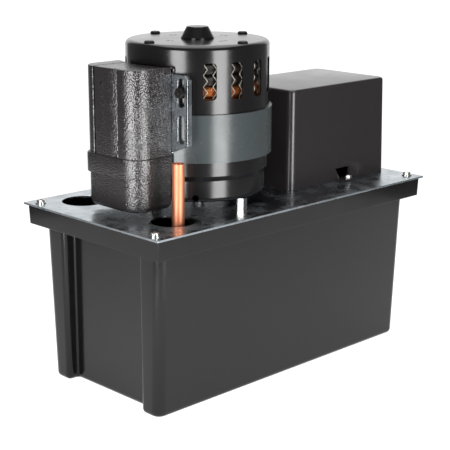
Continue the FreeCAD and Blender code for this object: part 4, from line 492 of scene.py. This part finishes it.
def moulding(name, plan, low, high, top, bottom):
    """An upright moulding on a plan of corners, each with the radius that rounds it, all in mm."""
    mesh = bmesh.new()
    corners = [mesh.verts.new((x * MM, y * MM, low * MM)) for x, y, radius in plan]
    mesh.faces.new(corners)
    for corner, (x, y, radius) in zip(corners, plan):
        if radius:
            bmesh.ops.bevel(mesh, geom=[corner], offset=radius * MM, offset_type="OFFSET",
                            segments=12 if radius > 5 else 4, profile=0.5, affect="VERTICES", material=-1)
    grow(mesh, (0, 0, (high - low) * MM))
    for level, width in ((high, top), (low, bottom)):
        rim = [edge for edge in mesh.edges if all(abs(vert.co.z - level * MM) < 1e-6 for vert in edge.verts)]
        if width:
            bmesh.ops.bevel(mesh, geom=rim, offset=width * MM, offset_type="OFFSET", segments=4, profile=0.5,
                            affect="EDGES", material=-1, clamp_overlap=True)
    piece = new_piece(name, mesh, wrinkled)
    tool = bmesh.new()
    bmesh.ops.create_cone(tool, cap_ends=True, segments=128, radius1=SADDLE, radius2=SADDLE, depth=0.2,
                          matrix=Matrix.Translation((MOTOR_X, 0, (low + high) / 2 * MM)))
    return carve(piece, new_piece(name + "_saddle", tool, wrinkled))


plan = [(BOX_FRONT + FOOT_INSET, BOX_NEAR + FOOT_INSET, NEAR_ROUND - FOOT_INSET),
        (BOX_END, BOX_NEAR + FOOT_INSET, 0), (BOX_END, FOOT_FAR, 0), (BOX_FRONT + FOOT_INSET, FOOT_FAR, FAR_ROUND)]
foot = moulding("box_foot", plan, FOOT_LOW, COLLAR_LOW, 0, FOOT_ROUND)

plan = [(BOX_FRONT - COLLAR_OUT, BOX_NEAR - COLLAR_OUT, NEAR_ROUND + COLLAR_OUT),
        (BOX_END, BOX_NEAR - COLLAR_OUT, 0), (BOX_END, COLLAR_FAR, 0),
        (BOX_FRONT - COLLAR_OUT, COLLAR_FAR, FAR_ROUND)]
collar = moulding("box_collar", plan, COLLAR_LOW, COLLAR_TOP, COLLAR_TOP_ROUND, COLLAR_LOW_ROUND)

plan = [(BOX_FRONT, SEAM + SEAM_GAP, BACK_SEAM_ROUND), (BOX_END, SEAM + SEAM_GAP, 0), (BOX_END, BACK_FAR, 0),
        (BOX_FRONT, BACK_FAR, BACK_FAR_ROUND)]
back = moulding("box_back", plan, COLLAR_TOP, COVER_TOP, BACK_TOP_ROUND, 0)

plan = [(BOX_FRONT, BOX_NEAR, NEAR_ROUND), (BOX_END, BOX_NEAR, 0), (BOX_END, SEAM, 0),
        (BOX_FRONT, SEAM, COVER_SEAM_ROUND), (BOX_FRONT, STEP + PANEL_TURN, PANEL_TURN),
        (BOX_FRONT + PANEL_DEPTH, STEP, 0), (BOX_FRONT, STEP, 0)]
cover_box = moulding("box_cover", plan, COLLAR_TOP, COVER_TOP, COVER_TOP_ROUND, 0)
mesh = bmesh.new()
rod_along_x(mesh, PANEL_HOLE_RADIUS * MM, (BOX_FRONT - PANEL_HOLE_DEPTH / 2) * MM,
            (BOX_FRONT + PANEL_HOLE_DEPTH) * MM, PANEL_HOLE_Y * MM, PANEL_HOLE_Z * MM, 16)
carve(cover_box, new_piece("panel_hole", mesh, wrinkled))
for piece, nodes in ((foot, ["junction_box_base"]), (collar, []), (back, ["junction_box_back"]),
                     (cover_box, ["junction_box_cover"])):
    attach(rounded(piece, 0.3), "root", "box_plastic", *nodes)

# The cover's lug at its rear top corner, an eye for a locking wire
LUG_BAR, LUG_REACH = 0.9 * MM, 2.1 * MM
mesh = bmesh.new()
eye = Vector((-93.6, -28.2, 256.2)) * MM
bar = bmesh.ops.create_circle(mesh, segments=10, radius=LUG_BAR,
                              matrix=Matrix.Translation(eye + Vector((LUG_REACH, 0, 0))))["verts"]
bmesh.ops.spin(mesh, geom=bar + [edge for edge in mesh.edges if edge.verts[0] in bar], cent=eye, axis=(0, 1, 0),
               angle=2 * math.pi, steps=24, use_merge=True)
bmesh.ops.remove_doubles(mesh, verts=mesh.verts, dist=1e-7)
attach(new_piece("box_lug", mesh, wrinkled), "root", "box_plastic")


# Studio: a round white table top that keeps a soft shadow, a white backdrop behind it, a grey curtain on the
# camera's side for the black enamel to mirror, two upright soft boxes over the table and a broad one above.
# The upright ones stand close, so that the tank's corner mirrors them only near its top.

AIM = Vector((-0.08923, -0.08143, 0.146))
EYE = Vector((-0.7081, -0.7117, 0.3796))
FRONT = math.atan2(EYE.y - AIM.y, EYE.x - AIM.x)


def backdrop_finish(name, colour, glow):
    """A matt surface that the camera, mirrors and glass see almost as bright as white."""
    material = bpy.data.materials.new(name)
    material.use_nodes = True
    material.node_tree.nodes.clear()
    path = add(material, "ShaderNodeLightPath")
    seen = add(material, "ShaderNodeMath", {0: path.outputs["Is Camera Ray"], 1: path.outputs["Is Glossy Ray"]},
               operation="MAXIMUM")
    seen = add(material, "ShaderNodeMath", {0: seen.outputs[0], 1: path.outputs["Is Transmission Ray"]},
               operation="MAXIMUM")
    matt = add(material, "ShaderNodeBsdfDiffuse", {"Color": linear(colour)})
    light = add(material, "ShaderNodeEmission", {"Strength": glow})
    both = add(material, "ShaderNodeAddShader", {0: matt.outputs[0], 1: light.outputs[0]})
    mixed = add(material, "ShaderNodeMixShader", {0: seen.outputs[0], 1: matt.outputs[0], 2: both.outputs[0]})
    add(material, "ShaderNodeOutputMaterial", {"Surface": mixed.outputs[0]})
    return material


def panel(name, width, height, spot, facing, material):
    """A flat upright or level sheet with its middle at a spot."""
    mesh = bmesh.new()
    bmesh.ops.create_grid(mesh, x_segments=1, y_segments=1, size=0.5)
    bmesh.ops.scale(mesh, vec=(width, height, 1), verts=mesh.verts)
    turn = facing.to_track_quat("Z", "Y").to_matrix()
    bmesh.ops.rotate(mesh, cent=(0, 0, 0), matrix=turn, verts=mesh.verts)
    bmesh.ops.translate(mesh, vec=spot, verts=mesh.verts)
    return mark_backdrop(new_piece(name, mesh, material))


def around(angle, distance, height):
    """A place at an angle from the camera's side of the object, as seen from above."""
    turn = FRONT + math.radians(angle)
    return Vector((AIM.x + distance * math.cos(turn), AIM.y + distance * math.sin(turn), height))


TABLE_RADIUS = 0.6
BACKDROP_WIDTH, BACKDROP_HEIGHT, BACKDROP_FAR, BACKDROP_MIDDLE = 7, 4, 2.4, 1.4
CURTAIN_HALF, CURTAIN_FAR, CURTAIN_LOW, CURTAIN_HIGH = 145, 1.4, -0.9, 2.4
mesh = bmesh.new()
bmesh.ops.create_circle(mesh, cap_ends=True, segments=96, radius=TABLE_RADIUS)
new_piece("floor", mesh, backdrop_finish("pale_floor", "#c8c8c8", 0.82))
behind = around(180, BACKDROP_FAR, BACKDROP_MIDDLE)
panel("backdrop", BACKDROP_WIDTH, BACKDROP_HEIGHT, behind, (AIM - behind) * Vector((1, 1, 0)),
      backdrop_finish("white_backdrop", "#d0d0d0", 0.9))

mesh = bmesh.new()
edge = [mesh.verts.new(around(-CURTAIN_HALF, CURTAIN_FAR, height)) for height in (CURTAIN_LOW, CURTAIN_HIGH)]
bmesh.ops.spin(mesh, geom=edge + [mesh.edges.new(edge)], cent=AIM, axis=(0, 0, 1),
               angle=math.radians(2 * CURTAIN_HALF), steps=48)
curtain = new_piece("curtain", mesh, backdrop_finish("grey_curtain", "#6a6a6a", 0.12))
curtain.visible_camera = False
curtain.visible_diffuse = False
curtain.visible_shadow = False


def lamp(name, width, height, spot, target, watts):
    """A soft box: an area lamp that the camera doesn't see."""
    light = bpy.data.lights.new(name, "AREA")
    light.shape = "RECTANGLE"
    light.size = width
    light.size_y = height
    light.energy = watts
    made = bpy.data.objects.new(name, light)
    made.location = spot
    made.rotation_euler = (spot - target).to_track_quat("Z", "Y").to_euler()
    made.visible_camera = False
    bpy.context.scene.collection.objects.link(made)


STRIP_WIDTH, STRIP_HEIGHT, STRIP_MIDDLE, STRIP_FAR, STRIP_WATTS = 0.17, 0.3, 0.17, 0.36, 1.75
TOP_SIZE, TOP_PLACE, TOP_WATTS = 1.4, Vector((0.1, 0.1, 1.5)), 12
for name, angle in (("left_box", -36), ("right_box", 40)):
    spot = around(angle, STRIP_FAR, STRIP_MIDDLE)
    lamp(name, STRIP_WIDTH, STRIP_HEIGHT, spot, Vector((AIM.x, AIM.y, STRIP_MIDDLE)), STRIP_WATTS)
lamp("top_box", TOP_SIZE, TOP_SIZE, TOP_PLACE, Vector((0, 0, 0)), TOP_WATTS)

world = bpy.data.worlds.new("studio")
bpy.context.scene.world = world
world.use_nodes = True
world.node_tree.nodes.clear()
path = add(world, "ShaderNodeLightPath")
seen = add(world, "ShaderNodeMath", {0: path.outputs["Is Camera Ray"], 1: path.outputs["Is Glossy Ray"]},
           operation="MAXIMUM")
seen = add(world, "ShaderNodeMath", {0: seen.outputs[0], 1: path.outputs["Is Transmission Ray"]}, operation="MAXIMUM")
white = add(world, "ShaderNodeBackground", {"Color": linear("#ffffff"), "Strength": 1.0})
room = add(world, "ShaderNodeBackground", {"Color": linear("#ffffff"), "Strength": 0.3})
sky = add(world, "ShaderNodeMixShader", {0: seen.outputs[0], 1: room.outputs[0], 2: white.outputs[0]})
add(world, "ShaderNodeOutputWorld", {"Surface": sky.outputs[0]})


# Camera: the photograph's place and lens, worked out from the straight edges of the lid and the tank.

LENS, SENSOR, ROLL = 98.08, 36.0, math.radians(0.2)
view = bpy.data.cameras.new("camera")
view.lens = LENS
view.sensor_width = SENSOR
camera = bpy.data.objects.new("camera", view)
turn = (EYE - AIM).to_track_quat("Z", "Y") @ Euler((0, 0, ROLL)).to_quaternion()
camera.rotation_euler = turn.to_euler()
camera.location = EYE
bpy.context.scene.collection.objects.link(camera)
bpy.context.scene.camera = camera
bpy.context.scene.view_settings.view_transform = "Standard"
